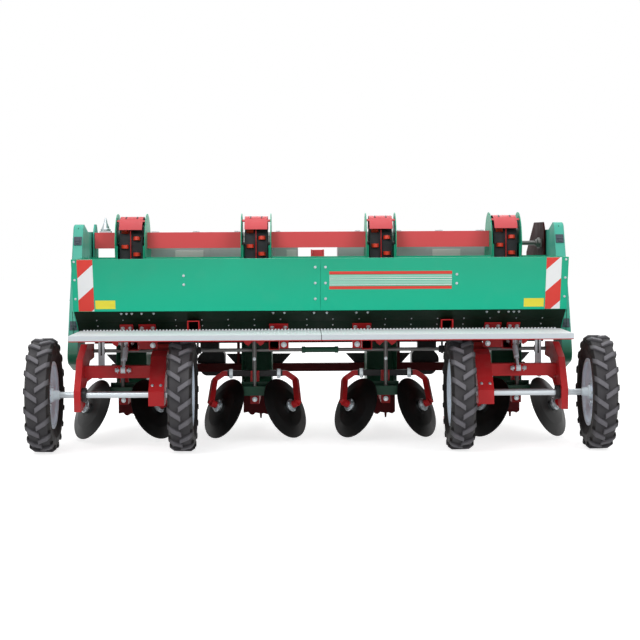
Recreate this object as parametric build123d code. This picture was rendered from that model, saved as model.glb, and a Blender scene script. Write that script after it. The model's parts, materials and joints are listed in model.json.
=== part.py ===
from build123d import *
import os
from math import cos, degrees, hypot, radians, sin

# A mounted four-row potato planter that rolls on four lugged wheels.
# +X is the planter's right hand side seen from behind, +Y is the direction of travel, +Z is up.
# Everything is laid out from the wheel axle, at y = 0, and moved to the frame's origin when it is saved.

# Rows and sides
ROW_PITCH = 900.0
ROW_SHARES = (-1.5, -0.5, 0.5, 1.5)
ROWS = [share * ROW_PITCH for share in ROW_SHARES]
RIDGER_TOP_HALF_W = 245.0
RIDGER_EDGE_X = ROWS[-1] + RIDGER_TOP_HALF_W
SIDES = (("left", -1), ("right", 1))

# Clearances between pieces
FIT_GAP = 0.05
SEAT_GAP = 0.3
SEAM_GAP = 1.5
OVERRUN = 20.0

# Tyres and rims, size 6.00-16
TYRE_OD = 740.0
TYRE_W = 160.0
LUG_H = 18.0
LUG_W = 34.0
LUG_SWEEP = 74.0
LUG_COUNT = 18
LUG_INNER_END = 7.0
# shares of the height from bead to tread, and of the half width
LUG_ROOT_SHARE = 0.78
LUG_CREST_SHARE = 0.66
CARCASS_WALL_SHARES = ((0.98, 0.50), (0.96, 0.80), (0.76, 1.00))
BEAD_R = 204.0
BEAD_W = 113.0
RIM_FLANGE_R = 220.0
RIM_FLANGE_T = 5.0
RIM_SHEET = 5.0
RIM_WELL_R = 180.0
RIM_WELL_W = 44.0
RIM_WELL_SLOPE = 18.0
RIM_DISC_DISH = 34.0
RIM_DISC_SHEET = 8.0
HUB_R = 48.0
HUB_L = 96.0
HUB_FLANGE_R = 84.0
AXLE_R = 21.0
AXLE_Z = TYRE_OD / 2
CARCASS_R = TYRE_OD / 2 - LUG_H
OUTER_WHEEL_X = 2 * ROW_PITCH
INNER_WHEEL_X = ROW_PITCH

# Hopper, in a section across the machine
HOPPER_SIDE_MARGIN = 290.0
HOPPER_HALF_W = ROWS[-1] + HOPPER_SIDE_MARGIN
HOPPER_SHEET = 5.0
HOPPER_TOP_Y = 155.0
HOPPER_TOP_Z = 1248.0
HOPPER_KNEE_Y = 245.0
HOPPER_KNEE_Z = 895.0
HOPPER_BAND_Y = 370.0
HOPPER_BAND_Z = 823.0
HOPPER_FLOOR_Y = 520.0
HOPPER_FLOOR_Z = 710.0
HOPPER_FRONT_Y = 1100.0
RIM_FOLD = 26.0
SEAM_STRIP_W = 84.0
LAP_FROM_TOP = 40.0
LAP_FROM_FOOT = 14.0
HOPPER_END_FRONT_Z = 1180.0
HOPPER_END_PEAK_Y = 980.0

# Towers with their cup belts
TOWER_HALF_W = 108.5
TOWER_SHEET = 5.0
TOWER_FLANGE = 18.0
TOWER_FOOT_Z = 297.0
TOWER_FRONT_Y = 1540.0
TOWER_HEAD_R = 226.0
DRUM_Y = 1300.0
DRUM_Z = 1335.0
DRUM_R = 140.0
TOP_SHAFT_R = 16.0
CAP_R = 205.0
CAP_W = 166.0
CAP_SHEET = 4.0
CAP_REAR_RISE = 108.0
CAP_TAB_W = 24.0
CAP_TAB_TURNS = (-32, 32)
BELT_W = 78.0
BELT_T = 6.0
BELT_SPACING = 86.0
BELT_Y = DRUM_Y - DRUM_R - BELT_T
BELT_FOOT_Z = 720.0
CUP_W = 52.0
CUP_H = 26.0
CUP_WALL = 4.0
CUP_PITCH = 111.0
CUP_COUNT = 6
CUP_LOW_Z = 811.0

# Main frame
LOWER_TUBE = 70.0
LOWER_TUBE_WALL = 6.0
LOWER_TUBE_TOP = HOPPER_FLOOR_Z - HOPPER_SHEET
LOWER_TUBE_REAR_Y = 280.0
LOWER_TUBE_XS = (310.0, 1250.0)
STUB_TUBE = 80.0
STUB_TUBE_X = 850.0
STUB_REAR_Y = 300.0
STUB_TOP_Z = 832.0
STUB_REACH = 190.0
MAIN_BEAM = 120.0
MAIN_BEAM_Y = TOWER_FRONT_Y + MAIN_BEAM / 2
MAIN_BEAM_TOP = 760.0
MAIN_BEAM_HALF_L = RIDGER_EDGE_X - 35.0
TOOLBAR = 60.0
TOOLBAR_TOP = 441.0
TOOLBAR_HALF_L = RIDGER_EDGE_X - 45.0
DROP_T = 20.0
DROP_W = 60.0
DROP_XS = (600.0, 1490.0)
CROSS_BEAM_Y = 1000.0
CROSS_BEAM_HALF_L = RIDGER_EDGE_X + 5.0
TIE_SHARES = (-1.7, -1.0, 0.0, 1.0, 1.7)

# Loading platform
PLATFORM_TOP = 769.0
PLATFORM_SHEET = 3.0
PLATFORM_FLANGE = 33.0
PLATFORM_HALF_L = 1604.0
PLATFORM_REAR_Y = -260.0
PLATFORM_DEPTH = 555.0
PLATFORM_ARM_W = 50.0
PLATFORM_ARM_SEAT = 70.0
ANGLE_W = 30.0
ANGLE_T = 6.0

# Wheel frames
CASE_X = (1018.0, 1120.0)
CASE_REAR_Y = -70.0
CASE_FRONT_Y = 650.0
CASE_FOOT_Z = 300.0
CASE_REAR_TOP_Z = 392.0
CASE_TOP_Z = 635.0
CASE_FRONT_TOP_Z = 660.0
CASE_FRONT_FOOT_Z = 565.0
CASE_OUTLINE = [(CASE_REAR_Y, CASE_FOOT_Z), (CASE_REAR_Y, CASE_REAR_TOP_Z), (150.0, 607.0),
                (230.0, CASE_TOP_Z), (CASE_FRONT_Y, CASE_FRONT_TOP_Z),
                (CASE_FRONT_Y, CASE_FRONT_FOOT_Z), (400.0, CASE_FRONT_FOOT_Z), (70.0, CASE_FOOT_Z)]
ARM_X = (1557.0, 1600.0)
ARM_FOOT_Z = 264.0
ARM_OUTLINE = [(-70.0, ARM_FOOT_Z), (-75.0, 400.0), (70.0, 595.0), (300.0, 678.0), (650.0, 660.0),
               (650.0, 565.0), (430.0, 560.0), (250.0, 470.0), (80.0, 330.0), (60.0, ARM_FOOT_Z)]
ARM_HOLE_GAP = 6.0
WHEEL_TUBE = 80.0
WHEEL_TUBE_Y = 180.0
WHEEL_TUBE_Z = 505.0
BEARING_R = 46.0
BEARING_L = 30.0
TURNBUCKLE_X = 1297.0
TURNBUCKLE_LUG_T = 8.0
TURNBUCKLE_LOW_Y = 84.0
TURNBUCKLE_LOW_Z = 522.0
TURNBUCKLE_TOP_Y = 305.0
TURNBUCKLE_TOP_Z = 685.0
TURNBUCKLE_ROD_R = 9.0
TURNBUCKLE_SLEEVE_R = 17.0
TURNBUCKLE_EYE_R = 20.0
TURNBUCKLE_EYE_W = 30.0
TURNBUCKLE_PIN_L = 34.0
# share of the length, from the lower eye, where the threaded sleeve starts and ends
TURNBUCKLE_BODY_SHARES = (0.38, 0.80)

# Shafts
END_PLATE_T = 10.0
END_PLATE_X = (HOPPER_HALF_W - HOPPER_SHEET - END_PLATE_T, HOPPER_HALF_W - HOPPER_SHEET)
UPPER_SHAFT_HALF_L = END_PLATE_X[1]
COVER_H = 115.0
COVER_SHEET = 3.0
COVER_Z = 1368.0
COVER_REAR = 60.0
COVER_FRONT = 50.0
COVER_END_GAP = 5.0
LEFT_COVER_REACH = END_PLATE_X[0] - COVER_END_GAP
END_PLATE_TAIL = [(1480.0, 1240.0), (1250.0, 1110.0), (1000.0, 1110.0), (1000.0, 1225.0)]
END_PLATE_OUTLINES = {"left": [(1245.0, 1225.0), (1245.0, 1420.0), (1320.0, 1486.0), (1400.0, 1486.0),
                               (1480.0, 1400.0)],
                      "right": [(1150.0, 1225.0), (1150.0, 1440.0), (1200.0, 1486.0), (1640.0, 1486.0),
                                (2040.0, 1260.0), (2040.0, 1200.0)]}
DRIVE_Y = 600.0
DRIVE_Z = 613.0
DRIVE_SHAFT_R = 12.5
DRIVE_SHAFT_HALF_L = ARM_X[1] + 12.0
COUPLING_HALF_L = 126.0
COUPLING_R = 19.0
COUPLING_END_R = 22.5
COUPLING_END_L = 24.0
HANGER_XS = (840.0, 1500.0)
HANGER_T = 10.0
HANGER_W = 60.0
COLLAR_L = 44.0
COLLAR_R = 24.0

# Closing discs and the row units
DISC_OD = 430.0
DISC_T = 5.0
DISC_DEPTH = 34.0
DISC_FLAT_R = 62.0
DISC_MIDDLE_SHARE = 0.36
DISC_X = 237.0
DISC_Y = 500.0
DISC_Z = 233.0
DISC_YAW = 34.0
DISC_TILT = 24.0
SPINDLE_R = 12.0
DISC_HUB_GAP = 1.0
DISC_HUB_R = 33.0
DISC_HUB_L = 38.0
DISC_NUT_R = 20.0
DISC_NUT_H = 14.0
ARM_BAR = 36.0
ARM_BOSS_R = 24.0
ARM_STANDOFF = 40.0
ARM_NECK_L = 26.0
ELBOW_X = 280.0
ELBOW_DROP = 44.0
ELBOW_R = 20.0
CLOSER_BAR = 40.0
CLOSER_BAR_HALF_L = 190.0
CLOSER_BAR_Y = 650.0
CLOSER_BAR_Z = 448.0
UPRIGHT_W = 60.0
ROW_BEAM = 62.0
ROW_BEAM_TOP = 307.0
ROW_BEAM_REAR_Y = 560.0
BASE_W = 185.0
BASE_SHEET = 8.0
BASE_REAR_Y = 500.0
BASE_FRONT_Y = 615.0
BASE_TOP_Z = 370.0
SPINDLE_Y = 545.0
ROW_SPINDLE_R = 13.5
GUSSET_HALF_W = 62.0
GUSSET_H = 42.0
GUSSET_T = 8.0
OPENER_HALF_W = 90.0
OPENER_WALL = 8.0
OPENER_REAR_Y = 1120.0
OPENER_SHOULDER_Y = 1360.0
OPENER_NOSE_BACK = 20.0
OPENER_FOOT_Z = 130.0
OPENER_RAKE = 60.0

# Front tools on the beams
RIDGER_T = 10.0
RIDGER_TOP_Z = 512.0
RIDGER_MID_HALF_W = 178.0
RIDGER_MID_Z = 439.0
RIDGER_POINT_Z = 300.0
GEARBOX_X = 795.0
GEARBOX_Z = 443.0
GEARBOX_W = 185.0
GEARBOX_H = 192.0
GEARBOX_ROUND = 50.0
GEARBOX_L = 160.0
STAND_X = 1035.0
STAND_SLEEVE = 84.0
STAND_PLAY = 0.5
STAND_LEG = 60.0
STAND_SLEEVE_Z = (560.0, 720.0)
STAND_STROKE = 300.0
STAND_HEADROOM = 10.0
STAND_FOOT = 160.0
STAND_FOOT_T = 12.0

# Fertiliser boxes
FERT_INNER_X = 150.0
FERT_OUTER_X = 1500.0
FERT_REAR_Y = 1570.0
FERT_DEPTH = 390.0
FERT_FOOT_Z = 1000.0
FERT_WAIST_Z = 1180.0
FERT_TOP_Z = 1420.0
FERT_THROAT_IN = 135.0
FERT_SHEET = 4.0
LID_HINGE_OUT = 9.0
LID_PIN_R = 4.0
LID_LUG_T = 8.0
LID_KNUCKLE_R = 8.0
LID_KNUCKLE_L = 60.0
LID_KNUCKLE_SHARES = (0.15, 0.50, 0.85)
LID_SHEET = 4.0
LID_LIP = 10.0
LID_SWING_GAP = 4.0
LID_DROP = 26.0
BRACKET_XS = (260.0, 780.0, 1300.0)
BRACKET_T = 10.0
OUTLET_W = 90.0
OUTLET_H = 90.0

# Side chain guards
GUARD_X = (1645.0, 1715.0)
GUARD_FRONT_Y = 1430.0
GUARD_OUTLINE = [(420.0, 545.0), (560.0, 900.0), (830.0, 1494.0), (1060.0, 1431.0), (GUARD_FRONT_Y, 1431.0),
                 (GUARD_FRONT_Y, 1230.0), (1120.0, 1150.0), (720.0, 462.0)]
GUARD_HINGE_Y = 1442.0
GUARD_HINGE_PIN_R = 5.0
GUARD_KNUCKLE_R = 9.0
GUARD_KNUCKLE_Z = (1305.0, 1355.0)
GUARD_LEAF_T = 6.0
GUARD_LUG_H = 12.0
GUARD_ROUND = 60.0
GUARD_EDGE_R = 12.0

# Three-point headstock, category 3
HITCH_REACH = 480.0
HITCH_Y = MAIN_BEAM_Y + HITCH_REACH
LOWER_PIN_Z = 600.0
LOWER_PIN_R = 18.3
LOWER_PIN_SPREAD = 965.0
LOWER_PIN_L = 110.0
TOP_BORE_R = 16.0
MAST_GAP = 78.0
MAST_H = 610.0
EAR_R = 60.0
EAR_T = 20.0
MAST_T = 12.0
TOP_BORE_BACK = 20.0
TOP_BORE_Y = HITCH_Y - TOP_BORE_BACK
EAR_SHOULDER = 160.0
# distances behind (below zero) and ahead of the lower pins
MAST_TOP_YS = (-120.0, 10.0)
MAST_FRONT_YS = (30.0, -220.0)
MAST_TOP_Z = 1289.0
MAST_CHIN_Z = 1180.0
EAR_OUTLINE = [(MAIN_BEAM_Y + MAIN_BEAM / 2, MAIN_BEAM_TOP - MAIN_BEAM),
               (MAIN_BEAM_Y + MAIN_BEAM / 2, MAIN_BEAM_TOP), (MAIN_BEAM_Y + MAIN_BEAM / 2 + EAR_SHOULDER, MAIN_BEAM_TOP),
               (HITCH_Y + EAR_R, LOWER_PIN_Z + EAR_R),
               (HITCH_Y + EAR_R, LOWER_PIN_Z - EAR_R), (HITCH_Y - EAR_R, LOWER_PIN_Z - EAR_R)]
MAST_OUTLINE = [(MAIN_BEAM_Y + MAIN_BEAM / 2, MAIN_BEAM_TOP - MAIN_BEAM),
                (MAIN_BEAM_Y + MAIN_BEAM / 2, MAIN_BEAM_TOP), (HITCH_Y + MAST_TOP_YS[0], MAST_TOP_Z),
                (HITCH_Y + MAST_TOP_YS[1], MAST_TOP_Z), (HITCH_Y + MAST_FRONT_YS[0], MAST_CHIN_Z),
                (HITCH_Y + MAST_FRONT_YS[1], MAIN_BEAM_TOP - MAIN_BEAM)]

REAR_REACH = TYRE_OD / 2
FRONT_REACH = HITCH_Y + EAR_R
AXLE_Y = (REAR_REACH - FRONT_REACH) / 2


# Drawing helpers

def block(x, y, z):
    """A box between the two ends of each pair."""
    size = [high - low for low, high in (x, y, z)]
    middle = [(high + low) / 2 for low, high in (x, y, z)]
    return Pos(*middle) * Box(*size)


def about(middle, length):
    """The two ends of a length about its middle."""
    return (middle - length / 2, middle + length / 2)


def outline_x(points, x):
    """A flat outline of (y, z) points, thickened between the two ends of x."""
    face = Plane.YZ.offset(x[0]) * make_face(Polyline(*points, close=True))
    return extrude(face, amount=x[1] - x[0])


def outline_y(points, y):
    """A flat outline of (x, z) points, thickened between the two ends of y."""
    plane = Plane((0, y[1], 0), x_dir=(1, 0, 0), z_dir=(0, -1, 0))
    return extrude(plane * make_face(Polyline(*points, close=True)), amount=y[1] - y[0])


def outline_z(points, z):
    """A flat outline of (x, y) points, thickened between the two ends of z."""
    face = Plane.XY.offset(z[0]) * make_face(Polyline(*points, close=True))
    return extrude(face, amount=z[1] - z[0])


def rod(start, end, radius):
    """A round bar from one point to another."""
    axis = Vector(*end) - Vector(*start)
    return extrude(Plane(start, z_dir=axis) * Circle(radius), amount=axis.length)


def rod_x(x, y, z, radius):
    """A round bar along X between the two ends of x."""
    return rod((x[0], y, z), (x[1], y, z), radius)


def turned(points):
    """A closed outline of (x, radius) points, turned about the X axis."""
    return revolve(make_face(Polyline(*points, close=True)), Axis.X)


def mirrored(shape):
    """The same piece on the other side of the machine."""
    return mirror(shape, about=Plane.YZ)


def both(*shapes):
    """Pieces of the right side, with their mirror images on the left."""
    return list(shapes) + [mirrored(shape) for shape in shapes]


def sided(side, shape):
    """A piece of the right side, moved to the named side."""
    return shape if side > 0 else mirrored(shape)


def solids_of(shapes):
    """Every solid in a list of shapes."""
    return [solid for shape in shapes for solid in shape.solids()]


def save(name, *shapes):
    """Write one node, moved from the axle's frame to the machine's own."""
    solids = solids_of(shapes)
    node = solids[0] if len(solids) == 1 else Compound(solids)
    export_step(Pos(0, AXLE_Y, 0) * node, f"parts/{name}.step")


# Wheels

def carcass():
    """The tyre without its lugs: flat tread, sloping shoulders and bulging sidewalls."""
    half = TYRE_W / 2
    section = CARCASS_R - BEAD_R
    right = [(BEAD_W / 2, BEAD_R), (BEAD_W / 2, RIM_FLANGE_R + SEAT_GAP)]
    right += [(half * width, BEAD_R + section * height) for width, height in CARCASS_WALL_SHARES]
    left = [(-x, r) for x, r in reversed(right)]
    return turned(right + left)


def lug():
    """One slanted lug on the back of the tread, from the middle out over the right shoulder."""
    half = TYRE_W / 2
    low = BEAD_R + (CARCASS_R - BEAD_R) * LUG_ROOT_SHARE
    tread = TYRE_OD / 2
    shoulder = CARCASS_R
    round_form = turned([(-LUG_INNER_END, low), (-LUG_INNER_END, tread), (half * LUG_CREST_SHARE, tread),
                         (half, shoulder), (half, low)])
    reach = half + OVERRUN
    bar = outline_y([(-LUG_INNER_END, -LUG_W / 2), (-LUG_INNER_END, LUG_W / 2),
                     (reach, LUG_SWEEP + LUG_W / 2), (reach, LUG_SWEEP - LUG_W / 2)],
                    (-tread - OVERRUN, -low))
    return round_form & bar


def tyre():
    """A tyre with its two staggered rows of lugs, about the X axis."""
    right_lug = lug()
    left_lug = mirrored(right_lug)
    pitch = 360 / LUG_COUNT
    lugs = [Rot(pitch * step, 0, 0) * right_lug for step in range(LUG_COUNT)]
    lugs += [Rot(pitch * (step + 0.5), 0, 0) * left_lug for step in range(LUG_COUNT)]
    return carcass().fuse(*lugs)


def rim():
    """A well-base rim with its dished disc and hub, about the X axis, dished to the left."""
    seat = BEAD_R - SEAT_GAP
    inner = seat - RIM_SHEET
    flange = BEAD_W / 2 + SEAT_GAP
    edge = flange + RIM_FLANGE_T
    well = RIM_WELL_W / 2
    shoulder = well + RIM_WELL_SLOPE
    outside = [(edge, RIM_FLANGE_R), (flange, RIM_FLANGE_R), (flange, seat), (shoulder, seat),
               (well, RIM_WELL_R)]
    inside = [(well + RIM_SHEET / 2, RIM_WELL_R - RIM_SHEET), (shoulder + RIM_SHEET / 2, inner),
              (edge, inner)]
    channel = turned(outside + [(-x, r) for x, r in reversed(outside)]
                     + [(-x, r) for x, r in reversed(inside)] + inside)
    root = RIM_WELL_R - RIM_SHEET / 2
    disc = turned([(RIM_DISC_SHEET / 2, root), (RIM_DISC_SHEET / 2 - RIM_DISC_DISH, HUB_FLANGE_R),
                   (RIM_DISC_SHEET / 2 - RIM_DISC_DISH, 0), (-RIM_DISC_SHEET / 2 - RIM_DISC_DISH, 0),
                   (-RIM_DISC_SHEET / 2 - RIM_DISC_DISH, HUB_FLANGE_R), (-RIM_DISC_SHEET / 2, root)])
    hub = rod_x(about(0, HUB_L), 0, 0, HUB_R)
    bore = rod_x(about(0, HUB_L + OVERRUN), 0, 0, AXLE_R + FIT_GAP)
    return (channel + disc + hub) - bore


def save_wheels():
    """Two wheels and their axle on each side."""
    one_tyre = tyre()
    one_rim = rim()
    places = [Pos(x, 0, AXLE_Z) for x in (INNER_WHEEL_X, OUTER_WHEEL_X)]
    axle = rod_x((INNER_WHEEL_X - HUB_L / 2, OUTER_WHEEL_X + HUB_L / 2), 0, AXLE_Z, AXLE_R)
    for name, side in SIDES:
        save(f"tyres_{name}", *[sided(side, place * one_tyre) for place in places])
        save(f"rims_{name}", *[sided(side, place * one_rim) for place in places])
        save(f"axle_{name}", sided(side, axle))


# Hopper

def hopper_line():
    """The hopper's outer skin in a section, from the top of its rear wall to its front."""
    return [(HOPPER_TOP_Y, HOPPER_TOP_Z), (HOPPER_KNEE_Y, HOPPER_KNEE_Z), (HOPPER_BAND_Y, HOPPER_BAND_Z),
            (HOPPER_FLOOR_Y, HOPPER_FLOOR_Z - HOPPER_SHEET),
            (HOPPER_FRONT_Y, HOPPER_FLOOR_Z - HOPPER_SHEET)]


def sheet_between(start, end, x):
    """A flat sheet that stands on the line from start to end and is as thick as the hopper's sheet."""
    run = hypot(end[0] - start[0], end[1] - start[1])
    across = (-(end[1] - start[1]) / run * HOPPER_SHEET, (end[0] - start[0]) / run * HOPPER_SHEET)
    inside = [(point[0] + across[0], point[1] + across[1]) for point in (end, start)]
    return outline_x([start, end, *inside], x)


def save_hopper():
    """Rear wall in two halves, knee, slope, floor, ends and the panels between the towers."""
    line = hopper_line()
    inner_x = HOPPER_HALF_W - HOPPER_SHEET
    across = (-inner_x, inner_x)
    knee, slope, floor = [sheet_between(line[k], line[k + 1], across) for k in (1, 2, 3)]
    top, bottom = line[0], line[1]
    run = hypot(bottom[0] - top[0], bottom[1] - top[1])
    lift = HOPPER_SHEET / run
    foot = (bottom[0] + (top[0] - bottom[0]) * lift, bottom[1] + (top[1] - bottom[1]) * lift)
    half = sheet_between(top, foot, (SEAM_GAP / 2, inner_x))
    half += block((SEAM_GAP / 2, inner_x), (top[0] + HOPPER_SHEET, top[0] + RIM_FOLD),
                  (top[1] - HOPPER_SHEET, top[1]))
    save("hopper_rear", half + seam_strip(top, foot), mirrored(half))
    save("hopper_knee", knee)
    save("hopper_slope", slope - knee)
    save("hopper_floor", floor - slope)
    end_outline = line + [(HOPPER_FRONT_Y, HOPPER_END_FRONT_Z), (HOPPER_END_PEAK_Y, HOPPER_TOP_Z)]
    save("hopper_ends", *both(outline_x(end_outline, (inner_x, HOPPER_HALF_W))))
    panels = [block(x, (HOPPER_FRONT_Y, HOPPER_FRONT_Y + HOPPER_SHEET), (HOPPER_FLOOR_Z, HOPPER_TOP_Z))
              for x in bays(inner_x)]
    panels[0] -= mirrored(end_plate_sheet("left"))
    panels[-1] -= end_plate_sheet("right")
    save("hopper_front", *panels)


def seam_strip(top, foot):
    """The lap of the right half behind the left one, below the fold along the rim."""
    run = hypot(foot[0] - top[0], foot[1] - top[1])
    down = ((foot[0] - top[0]) / run, (foot[1] - top[1]) / run)
    inward = (-down[1], down[0])

    def on_lap(along, depth):
        return (top[0] + down[0] * along + inward[0] * depth, top[1] + down[1] * along + inward[1] * depth)

    near, far = HOPPER_SHEET + SEAT_GAP, 2 * HOPPER_SHEET + SEAT_GAP
    lap = outline_x([on_lap(LAP_FROM_TOP, near), on_lap(run - LAP_FROM_FOOT, near),
                     on_lap(run - LAP_FROM_FOOT, far), on_lap(LAP_FROM_TOP, far)],
                    (-SEAM_STRIP_W / 2, SEAM_STRIP_W / 2))
    step = outline_x([on_lap(LAP_FROM_TOP, 0), on_lap(run - LAP_FROM_FOOT, 0),
                      on_lap(run - LAP_FROM_FOOT, far), on_lap(LAP_FROM_TOP, far)],
                     (SEAM_GAP / 2, SEAM_STRIP_W / 2))
    return lap + step


def bays(half_width):
    """The stretches between the towers, from one end wall to the other."""
    edges = [-half_width]
    for row in ROWS:
        edges += [row - TOWER_HALF_W - SEAT_GAP, row + TOWER_HALF_W + SEAT_GAP]
    edges.append(half_width)
    return [(edges[k], edges[k + 1]) for k in range(0, len(edges), 2)]


# Towers with their cup belts

def tower_outline(inset):
    """A tower's side plate: upright edges and a round head about the upper drum."""
    reach = TOWER_HEAD_R - inset
    low, front = TOWER_FOOT_Z, TOWER_FRONT_Y - inset
    body = outline_pair(low, front, inset)
    head = Pos(DRUM_Y, DRUM_Z) * Circle(reach)
    return body + head


def outline_pair(low, front, inset):
    """The straight part of a side plate below its round head."""
    rear = HOPPER_FRONT_Y + inset
    return make_face(Polyline((rear, low), (front, low), (front, DRUM_Z), (rear, DRUM_Z), close=True))


def save_towers():
    """Side plates, front covers, caps, belts, cups and shoes of the four planting units."""
    plates, covers, belts, cups = [], [], [], []
    for row in ROWS:
        for side in (-1, 1):
            outer = row + side * TOWER_HALF_W
            inner = outer - side * TOWER_SHEET
            x = (min(outer, inner), max(outer, inner))
            plate = extrude(Plane.YZ.offset(x[0]) * tower_outline(0), amount=TOWER_SHEET)
            hole = rod_x((x[0] - OVERRUN, x[1] + OVERRUN), DRUM_Y, DRUM_Z, TOP_SHAFT_R + FIT_GAP)
            flange_x = about(row + side * (TOWER_HALF_W - TOWER_FLANGE / 2), TOWER_FLANGE)
            flange = block(flange_x, (HOPPER_FRONT_Y, HOPPER_FRONT_Y + TOWER_SHEET),
                           (HOPPER_FLOOR_Z + OVERRUN, DRUM_Z - TOWER_SHEET))
            plates.append((plate + flange) - hole)
        inside = (row - TOWER_HALF_W + TOWER_SHEET, row + TOWER_HALF_W - TOWER_SHEET)
        covers.append(block(inside, (TOWER_FRONT_Y - TOWER_SHEET, TOWER_FRONT_Y), (TOWER_FOOT_Z, DRUM_Z)))
        for column in (-1, 1):
            middle = row + column * BELT_SPACING / 2
            belts.append(belt(about(middle, BELT_W)))
            first = CUP_LOW_Z + (CUP_PITCH / 2 if column < 0 else 0)
            cups += [cup_place(middle, first + CUP_PITCH * k) * cup() for k in range(CUP_COUNT)]
    save("tower_side_plates", *plates)
    save("tower_front_covers", *covers)
    save("cup_belts", *belts)
    save("seed_cups", *cups)


def drum(row):
    """The drum that turns the belts over at the top, on the upper shaft."""
    half = BELT_SPACING / 2 + BELT_W / 2
    return rod_x((row - half, row + half), DRUM_Y, DRUM_Z, DRUM_R - SEAT_GAP)


def belt(x):
    """One belt: up from the floor behind the drum and half way over it."""
    centre = Pos(DRUM_Y, DRUM_Z)
    ring = centre * Circle(DRUM_R + BELT_T) - centre * Circle(DRUM_R)
    upper = Pos(DRUM_Y, DRUM_Z + DRUM_R) * Rectangle(4 * DRUM_R, 2 * DRUM_R)
    run = Pos(BELT_Y + BELT_T / 2, (BELT_FOOT_Z + DRUM_Z) / 2) * Rectangle(BELT_T, DRUM_Z - BELT_FOOT_Z)
    face = (ring & upper) + run
    return extrude(Plane.YZ.offset(x[0]) * face, amount=x[1] - x[0])


def cup_place(x, z):
    """A cup's place on its belt, at a height measured along the belt."""
    if z < DRUM_Z:
        return Pos(x, BELT_Y, z)
    reach = DRUM_R + BELT_T
    turn = degrees((z - DRUM_Z) / reach)
    return Pos(x, DRUM_Y, DRUM_Z) * Rot(-turn, 0, 0) * Pos(0, -reach - SEAT_GAP, 0)


def cup():
    """One open cup, with its flat back on the belt and its mouth up."""
    outside = Pos(0, 0) * (Circle(CUP_W / 2) & Pos(0, -CUP_W / 2) * Rectangle(CUP_W, CUP_W))
    inside = Circle(CUP_W / 2 - CUP_WALL) & Pos(0, -CUP_W / 2 - CUP_WALL) * Rectangle(CUP_W, CUP_W)
    return extrude(outside, amount=CUP_H) - Pos(0, 0, CUP_WALL) * extrude(inside, amount=CUP_H)


def tower_cap(row):
    """The curved cap over the upper drum."""
    half = CAP_W / 2
    centre = Pos(DRUM_Y, DRUM_Z)
    ring = centre * Circle(CAP_R) - centre * Circle(CAP_R - CAP_SHEET)
    over = Pos(DRUM_Y, DRUM_Z + CAP_REAR_RISE + CAP_R) * Rectangle(4 * CAP_R, 2 * CAP_R)
    cap = extrude(Plane.YZ.offset(row - half) * (ring & over), amount=CAP_W)
    reach = TOWER_HALF_W - TOWER_SHEET - SEAT_GAP
    for turn in CAP_TAB_TURNS:
        tab = ring & (centre * Rot(0, 0, turn) * Pos(0, CAP_R) * Rectangle(CAP_TAB_W, CAP_TAB_W))
        cap += extrude(Plane.YZ.offset(row - reach) * tab, amount=2 * reach)
    return cap


# Main frame

def square_tube_y(x, y, top, size, wall):
    """An open square tube that runs along Y, hung from its top."""
    outside = block(about(x, size), y, (top - size, top))
    inside = block(about(x, size - 2 * wall), (y[0] - OVERRUN, y[1] + OVERRUN),
                   (top - size + wall, top - wall))
    return outside - inside


def above_hopper():
    """All the space above the hopper's underside, as deep as the stub tubes need."""
    line = hopper_line()[1:4]
    ceiling = HOPPER_TOP_Z
    return outline_x(line + [(line[-1][0], ceiling), (line[0][0], ceiling)],
                     (-HOPPER_HALF_W, HOPPER_HALF_W))


def save_frame():
    """Beams, tubes and drops that carry the planting units."""
    cross_front = CROSS_BEAM_Y + LOWER_TUBE
    bottom = LOWER_TUBE_TOP - LOWER_TUBE
    level = (bottom, LOWER_TUBE_TOP)
    main_rear = MAIN_BEAM_Y - MAIN_BEAM / 2
    tubes = [square_tube_y(x, (LOWER_TUBE_REAR_Y, CROSS_BEAM_Y), LOWER_TUBE_TOP, LOWER_TUBE,
                           LOWER_TUBE_WALL) for x in LOWER_TUBE_XS]
    stub = square_tube_y(STUB_TUBE_X, (STUB_REAR_Y, STUB_REAR_Y + STUB_REACH), STUB_TOP_Z, STUB_TUBE,
                         LOWER_TUBE_WALL)
    save("lower_tubes", *both(*tubes, stub - above_hopper()))
    cross_beam = block((-CROSS_BEAM_HALF_L, CROSS_BEAM_HALF_L), (CROSS_BEAM_Y, cross_front), level)
    main_beam = block((-MAIN_BEAM_HALF_L, MAIN_BEAM_HALF_L), about(MAIN_BEAM_Y, MAIN_BEAM),
                      (MAIN_BEAM_TOP - MAIN_BEAM, MAIN_BEAM_TOP))
    toolbar = block((-TOOLBAR_HALF_L, TOOLBAR_HALF_L), about(MAIN_BEAM_Y, TOOLBAR),
                    (TOOLBAR_TOP - TOOLBAR, TOOLBAR_TOP))
    save("frame_beams", cross_beam, main_beam, toolbar)
    ties = [block(about(share * ROW_PITCH, LOWER_TUBE), (cross_front, main_rear), level)
            for share in TIE_SHARES]
    drops = [block(about(x, DROP_T), about(MAIN_BEAM_Y, DROP_W), (TOOLBAR_TOP, MAIN_BEAM_TOP - MAIN_BEAM))
             for x in DROP_XS]
    save("frame_ties", *ties, *both(*drops))


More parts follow.
